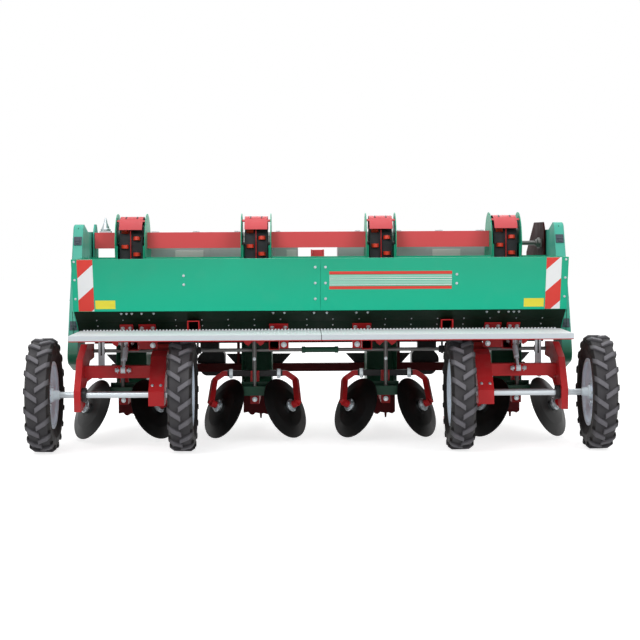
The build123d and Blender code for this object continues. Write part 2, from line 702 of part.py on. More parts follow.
def save_platform():
    """The loading platform, its edge angle and its arms."""
    front = PLATFORM_REAR_Y + PLATFORM_DEPTH
    top = (PLATFORM_TOP - PLATFORM_SHEET, PLATFORM_TOP)
    flange = (PLATFORM_TOP - PLATFORM_FLANGE, PLATFORM_TOP)
    half = (SEAM_GAP / 2, PLATFORM_HALF_L)
    plank = block(half, (PLATFORM_REAR_Y, front), top)
    plank += block(half, (PLATFORM_REAR_Y, PLATFORM_REAR_Y + PLATFORM_SHEET), flange)
    plank += block(half, (front - PLATFORM_SHEET, front), flange)
    arm_top = PLATFORM_TOP - PLATFORM_SHEET
    arm_bottom = PLATFORM_TOP - PLATFORM_FLANGE
    arm_rear = PLATFORM_REAR_Y + PLATFORM_SHEET
    arm_front = LOWER_TUBE_REAR_Y + PLATFORM_ARM_SEAT
    arms = []
    for x in LOWER_TUBE_XS:
        arm = block(about(x, PLATFORM_ARM_W), (arm_rear, arm_front), (arm_bottom, arm_top))
        foot = block(about(x, PLATFORM_ARM_W), (STUB_REAR_Y, arm_front),
                     (LOWER_TUBE_TOP, arm_bottom))
        arms.append(arm + foot)
    save("platform", *both(plank.cut(*arms)))
    save("platform_arms", *both(*arms))
    save("platform_angle", block((-PLATFORM_HALF_L, PLATFORM_HALF_L), (arm_rear, arm_rear + ANGLE_W),
                                 (arm_bottom - ANGLE_T, arm_bottom)))


# Wheel frames

def save_wheel_frames():
    """The frames that hold the wheels; their cases and arms hang on the cross drive shaft."""
    tube_z = (WHEEL_TUBE_Z - WHEEL_TUBE / 2, WHEEL_TUBE_Z + WHEEL_TUBE / 2)
    tube = block((CASE_X[1], ARM_X[0]), about(WHEEL_TUBE_Y, WHEEL_TUBE), tube_z) + turnbuckle_lugs()
    save("wheel_frame_tubes", *both(tube))
    case_span = (CASE_X[0] - OVERRUN, CASE_X[1] + OVERRUN)
    bore = rod_x(case_span, 0, AXLE_Z, AXLE_R + FIT_GAP)
    pivot = rod_x(case_span, DRIVE_Y, DRIVE_Z, DRIVE_SHAFT_R + FIT_GAP)
    save("chain_cases", *both(outline_x(CASE_OUTLINE, CASE_X) - bore - pivot))
    arm_span = (ARM_X[0] - OVERRUN, ARM_X[1] + OVERRUN)
    arm_hole = rod_x(arm_span, 0, AXLE_Z, AXLE_R + ARM_HOLE_GAP)
    pivot = rod_x(arm_span, DRIVE_Y, DRIVE_Z, DRIVE_SHAFT_R + FIT_GAP)
    save("wheel_arms", *both(outline_x(ARM_OUTLINE, ARM_X) - arm_hole - pivot))
    save("turnbuckles", *both(turnbuckle()))


def axle_bearing():
    """The flanged bearing on the inner side of an outer arm."""
    housing = (ARM_X[0] - BEARING_L, ARM_X[0])
    bore = (housing[0] - OVERRUN, housing[1] + OVERRUN)
    return rod_x(housing, 0, AXLE_Z, BEARING_R) - rod_x(bore, 0, AXLE_Z, AXLE_R + FIT_GAP)


def turnbuckle_lugs():
    """The two lugs on the cross tube that hold the turnbuckle's lower pin."""
    face = WHEEL_TUBE_Y - WHEEL_TUBE / 2
    lugs = []
    for side in (-1, 1):
        middle = TURNBUCKLE_X + side * (TURNBUCKLE_EYE_W / 2 + TURNBUCKLE_LUG_T / 2 + SEAT_GAP)
        x = about(middle, TURNBUCKLE_LUG_T)
        plate = block(x, (TURNBUCKLE_LOW_Y, face), about(TURNBUCKLE_LOW_Z, 2 * TURNBUCKLE_EYE_R))
        plate += rod_x(x, TURNBUCKLE_LOW_Y, TURNBUCKLE_LOW_Z, TURNBUCKLE_EYE_R)
        lugs.append(plate - rod_x(about(middle, OVERRUN), TURNBUCKLE_LOW_Y, TURNBUCKLE_LOW_Z,
                                  TURNBUCKLE_ROD_R + FIT_GAP))
    return lugs[0] + lugs[1]


def turnbuckle():
    """The screw that sets the wheels' depth, from the cross tube up to the lower tube's side."""
    low = (TURNBUCKLE_X, TURNBUCKLE_LOW_Y, TURNBUCKLE_LOW_Z)
    high = (TURNBUCKLE_X, TURNBUCKLE_TOP_Y, TURNBUCKLE_TOP_Z)
    along = Vector(*high) - Vector(*low)
    unit = along.normalized()
    start = Vector(*low) + unit * (along.length * TURNBUCKLE_BODY_SHARES[0])
    end = Vector(*low) + unit * (along.length * TURNBUCKLE_BODY_SHARES[1])
    screw = rod(low, high, TURNBUCKLE_ROD_R)
    sleeve = rod(tuple(start), tuple(end), TURNBUCKLE_SLEEVE_R)
    half = TURNBUCKLE_EYE_W / 2
    lower_eye = rod_x((TURNBUCKLE_X - half, TURNBUCKLE_X + half), low[1], low[2], TURNBUCKLE_EYE_R)
    upper_from = LOWER_TUBE_XS[1] + LOWER_TUBE / 2
    upper_eye = rod_x((upper_from, TURNBUCKLE_X + half), high[1], high[2], TURNBUCKLE_EYE_R)
    pin = rod_x((TURNBUCKLE_X - TURNBUCKLE_PIN_L, TURNBUCKLE_X + TURNBUCKLE_PIN_L), low[1], low[2],
                TURNBUCKLE_ROD_R)
    return screw + sleeve + lower_eye + upper_eye + pin


# Shafts

def save_shafts():
    """The upper shaft with its covers, and the cross drive shaft with its coupling."""
    shaft = rod_x((-UPPER_SHAFT_HALF_L, UPPER_SHAFT_HALF_L), DRUM_Y, DRUM_Z, TOP_SHAFT_R)
    save("upper_shaft", shaft.fuse(*[drum(row) for row in ROWS]))
    half = COVER_H / 2
    inner_half = half - COVER_SHEET
    rear, front = DRUM_Y - COVER_REAR, DRUM_Y + COVER_FRONT
    channel = [(front, COVER_Z - half), (rear, COVER_Z - half), (rear, COVER_Z + half),
               (front, COVER_Z + half), (front, COVER_Z + inner_half),
               (rear + COVER_SHEET, COVER_Z + inner_half),
               (rear + COVER_SHEET, COVER_Z - inner_half), (front, COVER_Z - inner_half)]
    gaps = bays(LEFT_COVER_REACH)
    covers = [outline_x(channel, (x[0] + SEAT_GAP, x[1] - SEAT_GAP)) for x in gaps[:-1]]
    save("upper_covers", *covers, *[tower_cap(row) for row in ROWS])
    save("end_plates", *[sided(side, end_plate(name)) for name, side in SIDES])
    drive = rod_x((-DRIVE_SHAFT_HALF_L, DRIVE_SHAFT_HALF_L), DRIVE_Y, DRIVE_Z, DRIVE_SHAFT_R)
    sleeve = rod_x((-COUPLING_HALF_L, COUPLING_HALF_L), DRIVE_Y, DRIVE_Z, COUPLING_R)
    ends = [rod_x(x, DRIVE_Y, DRIVE_Z, COUPLING_END_R)
            for x in ((-COUPLING_HALF_L, COUPLING_END_L - COUPLING_HALF_L),
                      (COUPLING_HALF_L - COUPLING_END_L, COUPLING_HALF_L))]
    bore = rod_x((-COUPLING_HALF_L - OVERRUN, COUPLING_HALF_L + OVERRUN), DRIVE_Y, DRIVE_Z,
                 DRIVE_SHAFT_R + FIT_GAP)
    save("shaft_coupling", sleeve + ends[0] + ends[1] - bore)
    hangers = []
    for x in HANGER_XS:
        hanger = block(about(x, HANGER_T), about(DRIVE_Y, HANGER_W),
                       (DRIVE_Z - HANGER_W / 2, LOWER_TUBE_TOP))
        hanger += rod_x(about(x, COLLAR_L), DRIVE_Y, DRIVE_Z, COLLAR_R)
        hangers.append(hanger - rod_x(about(x, COLLAR_L + OVERRUN), DRIVE_Y, DRIVE_Z,
                                      DRIVE_SHAFT_R + FIT_GAP))
    save("shaft_bearings", *both(*hangers, axle_bearing()))
    spindles = [rod((row, SPINDLE_Y, ROW_BEAM_TOP + BASE_SHEET), (row, SPINDLE_Y, LOWER_TUBE_TOP),
                    ROW_SPINDLE_R) for row in ROWS]
    save("drive_rods", drive, *spindles)


# Row units: openers, closing discs and what carries them

def disc_plane(row, side):
    """The plane of one closing disc; its normal points back, out and up, away from the ridge."""
    yaw, tilt = radians(DISC_YAW), radians(DISC_TILT)
    normal = (side * cos(yaw) * cos(tilt), -sin(yaw) * cos(tilt), sin(tilt))
    return Plane((row + side * DISC_X, DISC_Y, DISC_Z), z_dir=normal)


def turned_about_z(points):
    """A closed outline of (radius, height) points, turned about the Z axis."""
    face = Plane.XZ * make_face(Polyline(*points, close=True))
    return revolve(face, Axis.Z)


def disc():
    """A hollow-ground disc about the Z axis, open towards -Z, with its spindle hole."""
    radius, bore = DISC_OD / 2, SPINDLE_R + FIT_GAP
    flat, middle = DISC_FLAT_R, (DISC_FLAT_R + radius) / 2
    mid_depth = DISC_DEPTH * DISC_MIDDLE_SHARE
    top = [(bore, 0), (flat, 0), (middle, -mid_depth), (radius, -DISC_DEPTH)]
    under = [(r, z - DISC_T) for r, z in reversed(top)]
    return turned_about_z(top + under)


def disc_hub():
    """The fixed hub on the disc's round side, with the spindle that the disc turns on."""
    housing = Pos(0, 0, DISC_HUB_GAP + DISC_HUB_L / 2) * Cylinder(DISC_HUB_R, DISC_HUB_L)
    low = -DISC_T - DISC_HUB_GAP - DISC_NUT_H
    spindle = Pos(0, 0, low / 2) * Cylinder(SPINDLE_R, -low)
    spindle += Pos(0, 0, DISC_HUB_GAP / 2) * Cylinder(SPINDLE_R, DISC_HUB_GAP)
    nut = Pos(0, 0, low + DISC_NUT_H / 2) * Cylinder(DISC_NUT_R, DISC_NUT_H)
    return housing + spindle + nut


def disc_arm(row, side):
    """The bent arm from the closer bar out and down to a disc's hub."""
    plane = disc_plane(row, side)
    seat = plane.origin + plane.z_dir * (DISC_HUB_GAP + DISC_HUB_L)
    end = seat + plane.z_dir * ARM_STANDOFF
    start = CLOSER_BAR_HALF_L + SEAT_GAP
    path = FilletPolyline((row + side * start, CLOSER_BAR_Y, CLOSER_BAR_Z),
                          (row + side * (start + ARM_NECK_L), CLOSER_BAR_Y, CLOSER_BAR_Z),
                          (row + side * ELBOW_X, CLOSER_BAR_Y, CLOSER_BAR_Z - ELBOW_DROP),
                          (end.X, end.Y, end.Z), radius=ELBOW_R)
    section = Plane(path @ 0, z_dir=path % 0) * Rectangle(ARM_BAR, ARM_BAR)
    bar = sweep(section, path=path)
    boss = Plane(seat + plane.z_dir * SEAT_GAP, z_dir=plane.z_dir) * Circle(ARM_BOSS_R)
    return bar + extrude(boss, amount=ARM_STANDOFF)


def opener(row):
    """The furrow opener under a planting duct: a boat-shaped shoe, open below."""
    half, wall = OPENER_HALF_W, OPENER_WALL
    rear, shoulder, nose = OPENER_REAR_Y, OPENER_SHOULDER_Y, TOWER_FRONT_Y - OPENER_NOSE_BACK
    outside = [(row - half, rear), (row + half, rear), (row + half, shoulder), (row, nose),
               (row - half, shoulder)]
    inside = [(row - half + wall, rear + wall), (row + half - wall, rear + wall),
              (row + half - wall, shoulder), (row, nose - 2 * wall), (row - half + wall, shoulder)]
    level = (OPENER_FOOT_Z, TOWER_FOOT_Z)
    open_level = (OPENER_FOOT_Z - OVERRUN, TOWER_FOOT_Z + OVERRUN)
    shell = outline_z(outside, level) - outline_z(inside, open_level)
    low, high = OPENER_FOOT_Z - OVERRUN, OPENER_FOOT_Z + OPENER_RAKE
    behind = rear - OVERRUN
    rake = outline_x([(behind, low), (rear + OPENER_RAKE, low), (rear, high), (behind, high)],
                     about(row, 2 * half + OVERRUN))
    return shell - rake


def save_row_units():
    """Openers, row beams, closer carriers, spindles, clamps, arms, hubs and the turning discs."""
    bars, bases, brackets, arms, hubs, openers = [], [], [], [], [], []
    one_disc, one_hub = disc(), disc_hub()
    base_bottom = ROW_BEAM_TOP
    for number, row in enumerate(ROWS):
        bars.append(block(about(row, ROW_BEAM), (ROW_BEAM_REAR_Y, OPENER_REAR_Y),
                           (ROW_BEAM_TOP - ROW_BEAM, ROW_BEAM_TOP)))
        base = block(about(row, BASE_W), (BASE_REAR_Y, BASE_FRONT_Y), (base_bottom, BASE_TOP_Z))
        lip = BASE_SHEET
        base -= block(about(row, BASE_W - 2 * lip), (BASE_REAR_Y + lip, BASE_FRONT_Y - lip),
                      (base_bottom + lip, BASE_TOP_Z + OVERRUN))
        bases.append(base)
        bars.append(block(about(row, 2 * CLOSER_BAR_HALF_L), about(CLOSER_BAR_Y, CLOSER_BAR),
                          about(CLOSER_BAR_Z, CLOSER_BAR)))
        brackets.append(block(about(row, UPRIGHT_W), (BASE_FRONT_Y, CLOSER_BAR_Y - CLOSER_BAR / 2),
                              (base_bottom, CLOSER_BAR_Z + CLOSER_BAR / 2)))
        brackets += [outline_y([(row + side * (ROW_SPINDLE_R + SEAT_GAP), LOWER_TUBE_TOP),
                                (row + side * GUSSET_HALF_W, LOWER_TUBE_TOP),
                                (row + side * (ROW_SPINDLE_R + SEAT_GAP), LOWER_TUBE_TOP - GUSSET_H)],
                               about(SPINDLE_Y, GUSSET_T)) for side in (-1, 1)]
        openers.append(opener(row))
        for side in (-1, 1):
            place = disc_plane(row, side).location
            arms.append(disc_arm(row, side))
            hubs.append(place * one_hub)
            save(f"disc_{2 * number + (1 if side < 0 else 2)}", place * one_disc)
    save("row_bars", *bars)
    save("closer_bases", *bases)
    save("closer_brackets", *brackets)
    save("disc_arms", *arms)
    save("disc_hubs", *hubs)
    save("furrow_openers", *openers)


# Front of the machine

def save_front():
    """Ridger shares, gearboxes, headstock and parking stand sleeves on the two beams."""
    tool_front = MAIN_BEAM_Y + TOOLBAR / 2
    shares = [outline_y([(row - RIDGER_TOP_HALF_W, RIDGER_TOP_Z), (row + RIDGER_TOP_HALF_W, RIDGER_TOP_Z),
                         (row + RIDGER_MID_HALF_W, RIDGER_MID_Z), (row, RIDGER_POINT_Z),
                         (row - RIDGER_MID_HALF_W, RIDGER_MID_Z)], (tool_front, tool_front + RIDGER_T))
              for row in ROWS]
    save("ridger_shares", *shares)
    main_front = MAIN_BEAM_Y + MAIN_BEAM / 2
    face = Plane.XZ * RectangleRounded(GEARBOX_W, GEARBOX_H, GEARBOX_ROUND)
    box = Pos(GEARBOX_X, 0, GEARBOX_Z) * face
    save("gearboxes", *both(Pos(0, tool_front + GEARBOX_L, 0) * extrude(box, amount=GEARBOX_L)))
    ear_x = LOWER_PIN_SPREAD / 2 - LOWER_PIN_L / 2
    ear = outline_x(EAR_OUTLINE, (ear_x - EAR_T, ear_x))
    lower_pin = rod_x((ear_x, ear_x + LOWER_PIN_L), HITCH_Y, LOWER_PIN_Z, LOWER_PIN_R)
    mast_x = (MAST_GAP / 2, MAST_GAP / 2 + MAST_T)
    bore = rod_x((mast_x[0] - OVERRUN, mast_x[1] + OVERRUN), TOP_BORE_Y, LOWER_PIN_Z + MAST_H, TOP_BORE_R)
    save("headstock_plates", *both(ear, outline_x(MAST_OUTLINE, mast_x) - bore))
    save("hitch_pins", *both(lower_pin))
    sleeve = block(about(STAND_X, STAND_SLEEVE), (main_front, main_front + STAND_SLEEVE), STAND_SLEEVE_Z)
    inside = STAND_LEG + 2 * STAND_PLAY
    middle = main_front + STAND_SLEEVE / 2
    sleeve -= block(about(STAND_X, inside), about(middle, inside),
                    (STAND_SLEEVE_Z[0] - OVERRUN, STAND_SLEEVE_Z[1] + OVERRUN))
    fertiliser_feet = [fertiliser_bracket(x) for x in BRACKET_XS]
    save("beam_brackets", *both(sleeve, *fertiliser_feet))
    leg_top = FERT_FOOT_Z - STAND_HEADROOM - STAND_STROKE
    leg = block(about(STAND_X, STAND_LEG), about(middle, STAND_LEG), (STAND_FOOT_T, leg_top))
    foot = block(about(STAND_X, STAND_FOOT), about(middle, STAND_FOOT), (0, STAND_FOOT_T))
    for name, side in SIDES:
        save(f"stand_{name}", sided(side, leg + foot))


# Fertiliser boxes

def save_fertiliser_boxes():
    """Two hoppers with sloping floors, their outlets and their lids."""
    x = (FERT_INNER_X, FERT_OUTER_X)
    rear, front = FERT_REAR_Y, FERT_REAR_Y + FERT_DEPTH
    throat = (rear + FERT_THROAT_IN, front - FERT_THROAT_IN)
    outside = [(rear, FERT_WAIST_Z), (throat[0], FERT_FOOT_Z), (throat[1], FERT_FOOT_Z),
               (front, FERT_WAIST_Z), (front, FERT_TOP_Z), (rear, FERT_TOP_Z)]
    t = FERT_SHEET
    over_top = FERT_TOP_Z + OVERRUN
    inside = [(rear + t, FERT_WAIST_Z), (throat[0] + t, FERT_FOOT_Z + t),
              (throat[1] - t, FERT_FOOT_Z + t), (front - t, FERT_WAIST_Z), (front - t, over_top),
              (rear + t, over_top)]
    box = outline_x(outside, x) - outline_x(inside, (x[0] + t, x[1] - t))
    hinge_y = front + LID_HINGE_OUT
    box += rod_x(x, hinge_y, FERT_TOP_Z, LID_PIN_R)
    lug_z = about(FERT_TOP_Z - LID_PIN_R, 4 * LID_PIN_R)
    for end in (x[0], x[1] - LID_LUG_T):
        box += block((end, end + LID_LUG_T), (front, hinge_y + LID_PIN_R), lug_z)
    lid_z = FERT_TOP_Z + SEAT_GAP
    lid_x = (x[0] - LID_LIP, x[1] + LID_LIP)
    lid = block(lid_x, (rear - LID_LIP, front - LID_SWING_GAP), (lid_z, lid_z + LID_SHEET))
    lid += block(lid_x, (rear - LID_LIP, rear - LID_LIP + LID_SHEET),
                 (lid_z - LID_DROP, lid_z + LID_SHEET))
    for share in LID_KNUCKLE_SHARES:
        knuckle = about(x[0] + (x[1] - x[0]) * share, LID_KNUCKLE_L)
        lid += block(knuckle, (front - LID_LIP, hinge_y), (lid_z, lid_z + LID_SHEET))
        lid += rod_x(knuckle, hinge_y, FERT_TOP_Z, LID_KNUCKLE_R)
        lid -= rod_x((knuckle[0] - OVERRUN, knuckle[1] + OVERRUN), hinge_y, FERT_TOP_Z,
                     LID_PIN_R + FIT_GAP)
    outlets = [block(about(row, OUTLET_W), about((rear + front) / 2, OUTLET_W),
                     (FERT_FOOT_Z - OUTLET_H, FERT_FOOT_Z - SEAT_GAP)) for row in ROWS[2:]]
    for name, side in SIDES:
        save(f"fertiliser_box_{name}", *[sided(side, piece) for piece in (box, *outlets)])
        save(f"fertiliser_lid_{name}", sided(side, lid))


def fertiliser_bracket(x):
    """One upright plate from the main beam to a fertiliser box."""
    rear = FERT_REAR_Y + FERT_THROAT_IN
    front = FERT_REAR_Y + FERT_DEPTH - FERT_THROAT_IN
    foot = about(MAIN_BEAM_Y, MAIN_BEAM)
    return outline_x([(foot[0], MAIN_BEAM_TOP), (foot[1], MAIN_BEAM_TOP), (front, FERT_FOOT_Z),
                      (rear, FERT_FOOT_Z)], about(x, BRACKET_T))


# Side chain guards

def save_guards():
    """The long rounded chain guards, each hinged along its front edge."""
    corners = make_face(Polyline(*GUARD_OUTLINE, close=True))
    face = fillet(corners.vertices(), radius=GUARD_ROUND)
    guard = extrude(Plane.YZ.offset(GUARD_X[0]) * face, amount=GUARD_X[1] - GUARD_X[0])
    edges = guard.faces().sort_by(Axis.X)[-1].edges()
    guard = fillet(edges, radius=GUARD_EDGE_R)
    knuckle = hinge_rod(GUARD_KNUCKLE_Z, GUARD_KNUCKLE_R)
    leaf = block((GUARD_X[0], GUARD_X[0] + GUARD_LEAF_T), (GUARD_FRONT_Y - GUARD_LEAF_T, GUARD_HINGE_Y),
                 GUARD_KNUCKLE_Z)
    guard += knuckle + leaf
    guard -= hinge_rod(pin_ends(), GUARD_HINGE_PIN_R + FIT_GAP)
    for name, side in SIDES:
        save(f"guard_{name}", sided(side, guard))


def hinge_rod(z, radius):
    """A round bar on a side guard's upright hinge line, between the two ends of z."""
    return rod((GUARD_X[0], GUARD_HINGE_Y, z[0]), (GUARD_X[0], GUARD_HINGE_Y, z[1]), radius)


def pin_ends():
    """The levels where a side guard's hinge pin starts and ends."""
    return (GUARD_KNUCKLE_Z[0] - GUARD_LUG_H, GUARD_KNUCKLE_Z[1] + GUARD_LUG_H)


def end_plate_sheet(name):
    """The bare sheet of one end plate, on the right side; the right plate is the longer one."""
    return outline_x(END_PLATE_TAIL + END_PLATE_OUTLINES[name], END_PLATE_X)


def end_plate(name):
    """A plate that carries the upper shaft's end and a side guard's hinge."""
    hole = rod_x((END_PLATE_X[0] - OVERRUN, END_PLATE_X[1] + OVERRUN), DRUM_Y, DRUM_Z,
                 TOP_SHAFT_R + FIT_GAP)
    plate = end_plate_sheet(name) - hole + hinge_rod(pin_ends(), GUARD_HINGE_PIN_R)
    for low in (GUARD_KNUCKLE_Z[0] - SEAT_GAP - GUARD_LUG_H, GUARD_KNUCKLE_Z[1] + SEAT_GAP):
        level = (low, low + GUARD_LUG_H)
        plate += hinge_rod(level, GUARD_KNUCKLE_R)
        plate += block((END_PLATE_X[0], GUARD_X[0]), about(GUARD_HINGE_Y, 2 * GUARD_KNUCKLE_R), level)
    return plate


os.makedirs("parts", exist_ok=True)
save_wheels()
save_hopper()
save_towers()
save_frame()
save_platform()
save_wheel_frames()
save_shafts()
save_row_units()
save_front()
save_fertiliser_boxes()
save_guards()
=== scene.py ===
import json
import math

import bmesh
import bpy
from mathutils import Euler, Matrix, Vector


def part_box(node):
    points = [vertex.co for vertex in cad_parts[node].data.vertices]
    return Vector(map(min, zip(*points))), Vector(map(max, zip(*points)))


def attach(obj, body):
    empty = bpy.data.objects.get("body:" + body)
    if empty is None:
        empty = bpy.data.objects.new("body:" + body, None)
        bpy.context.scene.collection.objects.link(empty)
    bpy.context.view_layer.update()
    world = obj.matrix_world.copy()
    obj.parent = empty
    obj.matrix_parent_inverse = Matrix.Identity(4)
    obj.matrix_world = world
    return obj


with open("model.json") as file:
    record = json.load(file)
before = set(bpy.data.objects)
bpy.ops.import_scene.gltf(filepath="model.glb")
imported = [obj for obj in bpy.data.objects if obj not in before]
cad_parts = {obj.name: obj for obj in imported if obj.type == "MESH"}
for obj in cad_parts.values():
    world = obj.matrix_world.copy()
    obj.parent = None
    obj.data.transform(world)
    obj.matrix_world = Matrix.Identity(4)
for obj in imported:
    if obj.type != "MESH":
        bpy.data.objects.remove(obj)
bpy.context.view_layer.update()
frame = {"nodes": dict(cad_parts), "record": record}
nodes = frame["nodes"]
BODY = "frame"
SIDES = (("left", -1), ("right", 1))

# Places worked out from the frame
AXLE_Y = sum(corner.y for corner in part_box("axle_right")) / 2
AXLE_Z = sum(corner.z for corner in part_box("axle_right")) / 2
ROW_PITCH = 0.9
ROWS = [share * ROW_PITCH for share in (-1.5, -0.5, 0.5, 1.5)]

# Camera, as the photograph was taken
CAMERA_X = -0.127
CAMERA_BACK = 10.345
CAMERA_Z = 1.40
LENS_MM = 89.66
SENSOR_MM = 36.0
PITCH_DEG = 3.05
YAW_DEG = 0.67
ROLL_DEG = -0.30

# Colours, linear
# hopper and tower green, and a lighter green that paints light on the hopper's lower walls
HOPPER_LIT_GREEN = (0.006, 0.53, 0.315)
BASE_GREEN = (0.020, 0.45, 0.265)
# near-black green: painted shade on the hopper's knee, slope and floor
UNDER_SHADE_GREEN = (0.003, 0.018, 0.009)
TOWER_SHADE = (0.018, 0.120, 0.064)
DARK_GREEN = (0.008, 0.066, 0.034)
GUARD_TEAL = (0.085, 0.49, 0.375)
GUARD_SHADE = (0.012, 0.130, 0.070)
FRAME_RED = (0.60, 0.020, 0.024)
# upper covers: a plain red on top, and a brighter red on the rear face, which is painted light
COVER_BASE_RED = (0.66, 0.080, 0.092)
COVER_LIT_FACE_RED = (0.98, 0.115, 0.125)
DARK_RED = (0.095, 0.009, 0.011)
GALVANISED = (0.84, 0.87, 0.90)
STEEL = (0.56, 0.61, 0.64)
RIM_SILVER = (0.76, 0.84, 0.92)
TYRE_BLACK = (0.008, 0.007, 0.007)
# bluish grey of the lug tops: partly wear, partly a painted highlight
LUG_WEAR_AND_HIGHLIGHT_GREY = (0.165, 0.160, 0.178)
DISC_BLACK = (0.006, 0.006, 0.006)
BELT_BLACK = (0.035, 0.035, 0.040)
CUP_ORANGE = (0.86, 0.050, 0.018)
BOX_GREY = (0.66, 0.68, 0.69)
BLACK_IRON = (0.012, 0.012, 0.013)
YELLOW = (0.92, 0.80, 0.050)
HAZARD_RED = (0.80, 0.045, 0.030)
WHITE = (0.97, 0.98, 1.0)
MINT = (0.34, 0.68, 0.54)
LATCH_GREY = (0.070, 0.090, 0.115)
PLATE_GREY = (0.95, 0.95, 0.92)
BRIGHT_ZINC = (0.78, 0.88, 0.93)
DULL_STEEL = (0.17, 0.17, 0.165)
# darker galvanised tone: painted shade on the platform's flange
PLATFORM_FLANGE_SHADE = (0.62, 0.67, 0.71)
# near-black red: painted shade on the right end plate
END_SHADE_RED = (0.032, 0.004, 0.005)


# Materials

# scale, detail, and the low and high end of each noise's range
PAINT_DRIFT = (2.2, 3.0, 0.3, 0.7)
PAINT_DUST = (5.5, 8.0, 0.55, 0.80)
PAINT_WEAR = (9.0, 6.0, 0.3, 0.75)
RUBBER_DUST = (7.0, 8.0, 0.45, 0.80)
RUBBER_WEAR = (16.0, 5.0, 0.3, 0.7)
PLASTIC_WEAR = (30.0, 3.0, 0.3, 0.7)
# scale and detail of the noises that are used as they are
PAINT_PEEL = (260.0, 2.0)
METAL_STREAKS = (60.0, 4.0)
RUBBER_DRIFT = (24.0, 3.0)
RUBBER_SKIN = (180.0, 4.0)
PLASTIC_DRIFT = (6.0, 4.0)
PLASTIC_GRAIN = (420.0, 2.0)
SPANGLE_SCALE = 55.0
# how far a colour goes to its darker and lighter tone
PAINT_TONES = (0.92, 1.06)
METAL_TONES = (0.86, 1.08)
SPANGLE_TONE = 0.72
RUBBER_TONES = (0.85, 1.3)
PLASTIC_TONES = (0.93, 1.05)
# what wear adds to the roughness
PAINT_ROUGHENING = 0.16
METAL_ROUGHENING = 0.14
METAL_WEAR = (0.2, 0.8)
RUBBER_ROUGHENING = (-0.08, 0.12)
PLASTIC_ROUGHENING = 0.12
# strength and height of the fine relief
PAINT_RELIEF = (0.05, 0.0004)
METAL_RELIEF = (0.08, 0.0005)
RUBBER_RELIEF = (0.18, 0.0008)
PLASTIC_RELIEF = (0.08, 0.0004)
PLASTIC_ROUNDING = 0.0025
COAT_ROUGHNESS = 0.18
RUBBER_GLOSS = 0.30
ROUNDING_SAMPLES = 4
DUST_ON_PAINT = (0.42, 0.38, 0.33)
DUST_ON_RUBBER = (0.22, 0.20, 0.185)
# distances from the axle: bottom of the grooves, and the lug tops, which are painted lighter, partly as
# wear and partly as a painted highlight
LUG_RADII = (0.346, 0.371)
# places between which a node's colour goes over to another one; each of these fades paints light and
# shade
HOPPER_LIGHT_FADE_Z = (0.90, 1.25)
TOWER_FADE_Z = (0.68, 0.74)
GUARD_FADE_Z = (0.62, 0.80)
COVER_LIGHT_FADE_Z = (1.428, 1.438)
ROW_SHADE_FADE_Z = (0.34, 0.36)
PLATFORM_SHADE_FADE_Z = (0.7670, 0.7686)
END_LIGHT_SPLIT_X = (-0.01, 0.01)


class Shader:
    """A small builder for one node material."""

    def __init__(self, name):
        self.material = bpy.data.materials.new(name)
        self.material.use_nodes = True
        self.tree = self.material.node_tree
        self.surface = self.tree.nodes["Principled BSDF"]
        self.place = self.tree.nodes.new("ShaderNodeTexCoord").outputs["Object"]

    def node(self, kind, **settings):
        made = self.tree.nodes.new(kind)
        for key, value in settings.items():
            if key in made.inputs:
                made.inputs[key].default_value = value
            else:
                setattr(made, key, value)
        return made

    def link(self, source, target):
        self.tree.links.new(source, target)

    def noise(self, scale, detail, stretch=(1, 1, 1)):
        mapping = self.node("ShaderNodeMapping")
        mapping.inputs["Scale"].default_value = stretch
        self.link(self.place, mapping.inputs["Vector"])
        noise = self.node("ShaderNodeTexNoise", Scale=scale, Detail=detail)
        self.link(mapping.outputs["Vector"], noise.inputs["Vector"])
        return noise.outputs["Fac"]

    def ramp(self, source, low, high, from_value, to_value):
        ranged = self.node("ShaderNodeMapRange")
        ends = {"From Min": low, "From Max": high, "To Min": from_value, "To Max": to_value}
        for key, value in ends.items():
            ranged.inputs[key].default_value = value
        self.link(source, ranged.inputs["Value"])
        return ranged.outputs["Result"]

    def patches(self, effect, from_value, to_value):
        """A noise whose range runs from one value to another."""
        scale, detail, low, high = effect
        return self.ramp(self.noise(scale, detail), low, high, from_value, to_value)

    def mix(self, factor, first, second):
        mixed = self.node("ShaderNodeMix", data_type="RGBA")
        self.link(factor, mixed.inputs["Factor"])
        for key, value in (("A", first), ("B", second)):
            socket = [s for s in mixed.inputs if s.name == key and s.type == "RGBA"][0]
            if isinstance(value, tuple):
                socket.default_value = (*value, 1.0)
            else:
                self.link(value, socket)
        return [s for s in mixed.outputs if s.type == "RGBA"][0]

    def split(self, body, axis, color, low, high):
        """The body colour above a place on an axis, and another one below it."""
        parts = self.node("ShaderNodeSeparateXYZ")
        self.link(self.place, parts.inputs[0])
        return self.mix(self.ramp(parts.outputs[axis], low, high, 0.0, 1.0), color, body)

    def bump(self, height, relief, rounding=0.0):
        strength, distance = relief
        bump = self.node("ShaderNodeBump", Strength=strength, Distance=distance)
        self.link(height, bump.inputs["Height"])
        if rounding:
            bevel = self.node("ShaderNodeBevel", samples=ROUNDING_SAMPLES, Radius=rounding)
            self.link(bevel.outputs["Normal"], bump.inputs["Normal"])
        self.link(bump.outputs["Normal"], self.surface.inputs["Normal"])


def tone(color, factor):
    """A colour made darker or lighter."""
    return tuple(min(1.0, channel * factor) for channel in color)


def tones(color, ends):
    """The darker and the lighter end of a colour's drift."""
    return [tone(color, end) for end in ends]


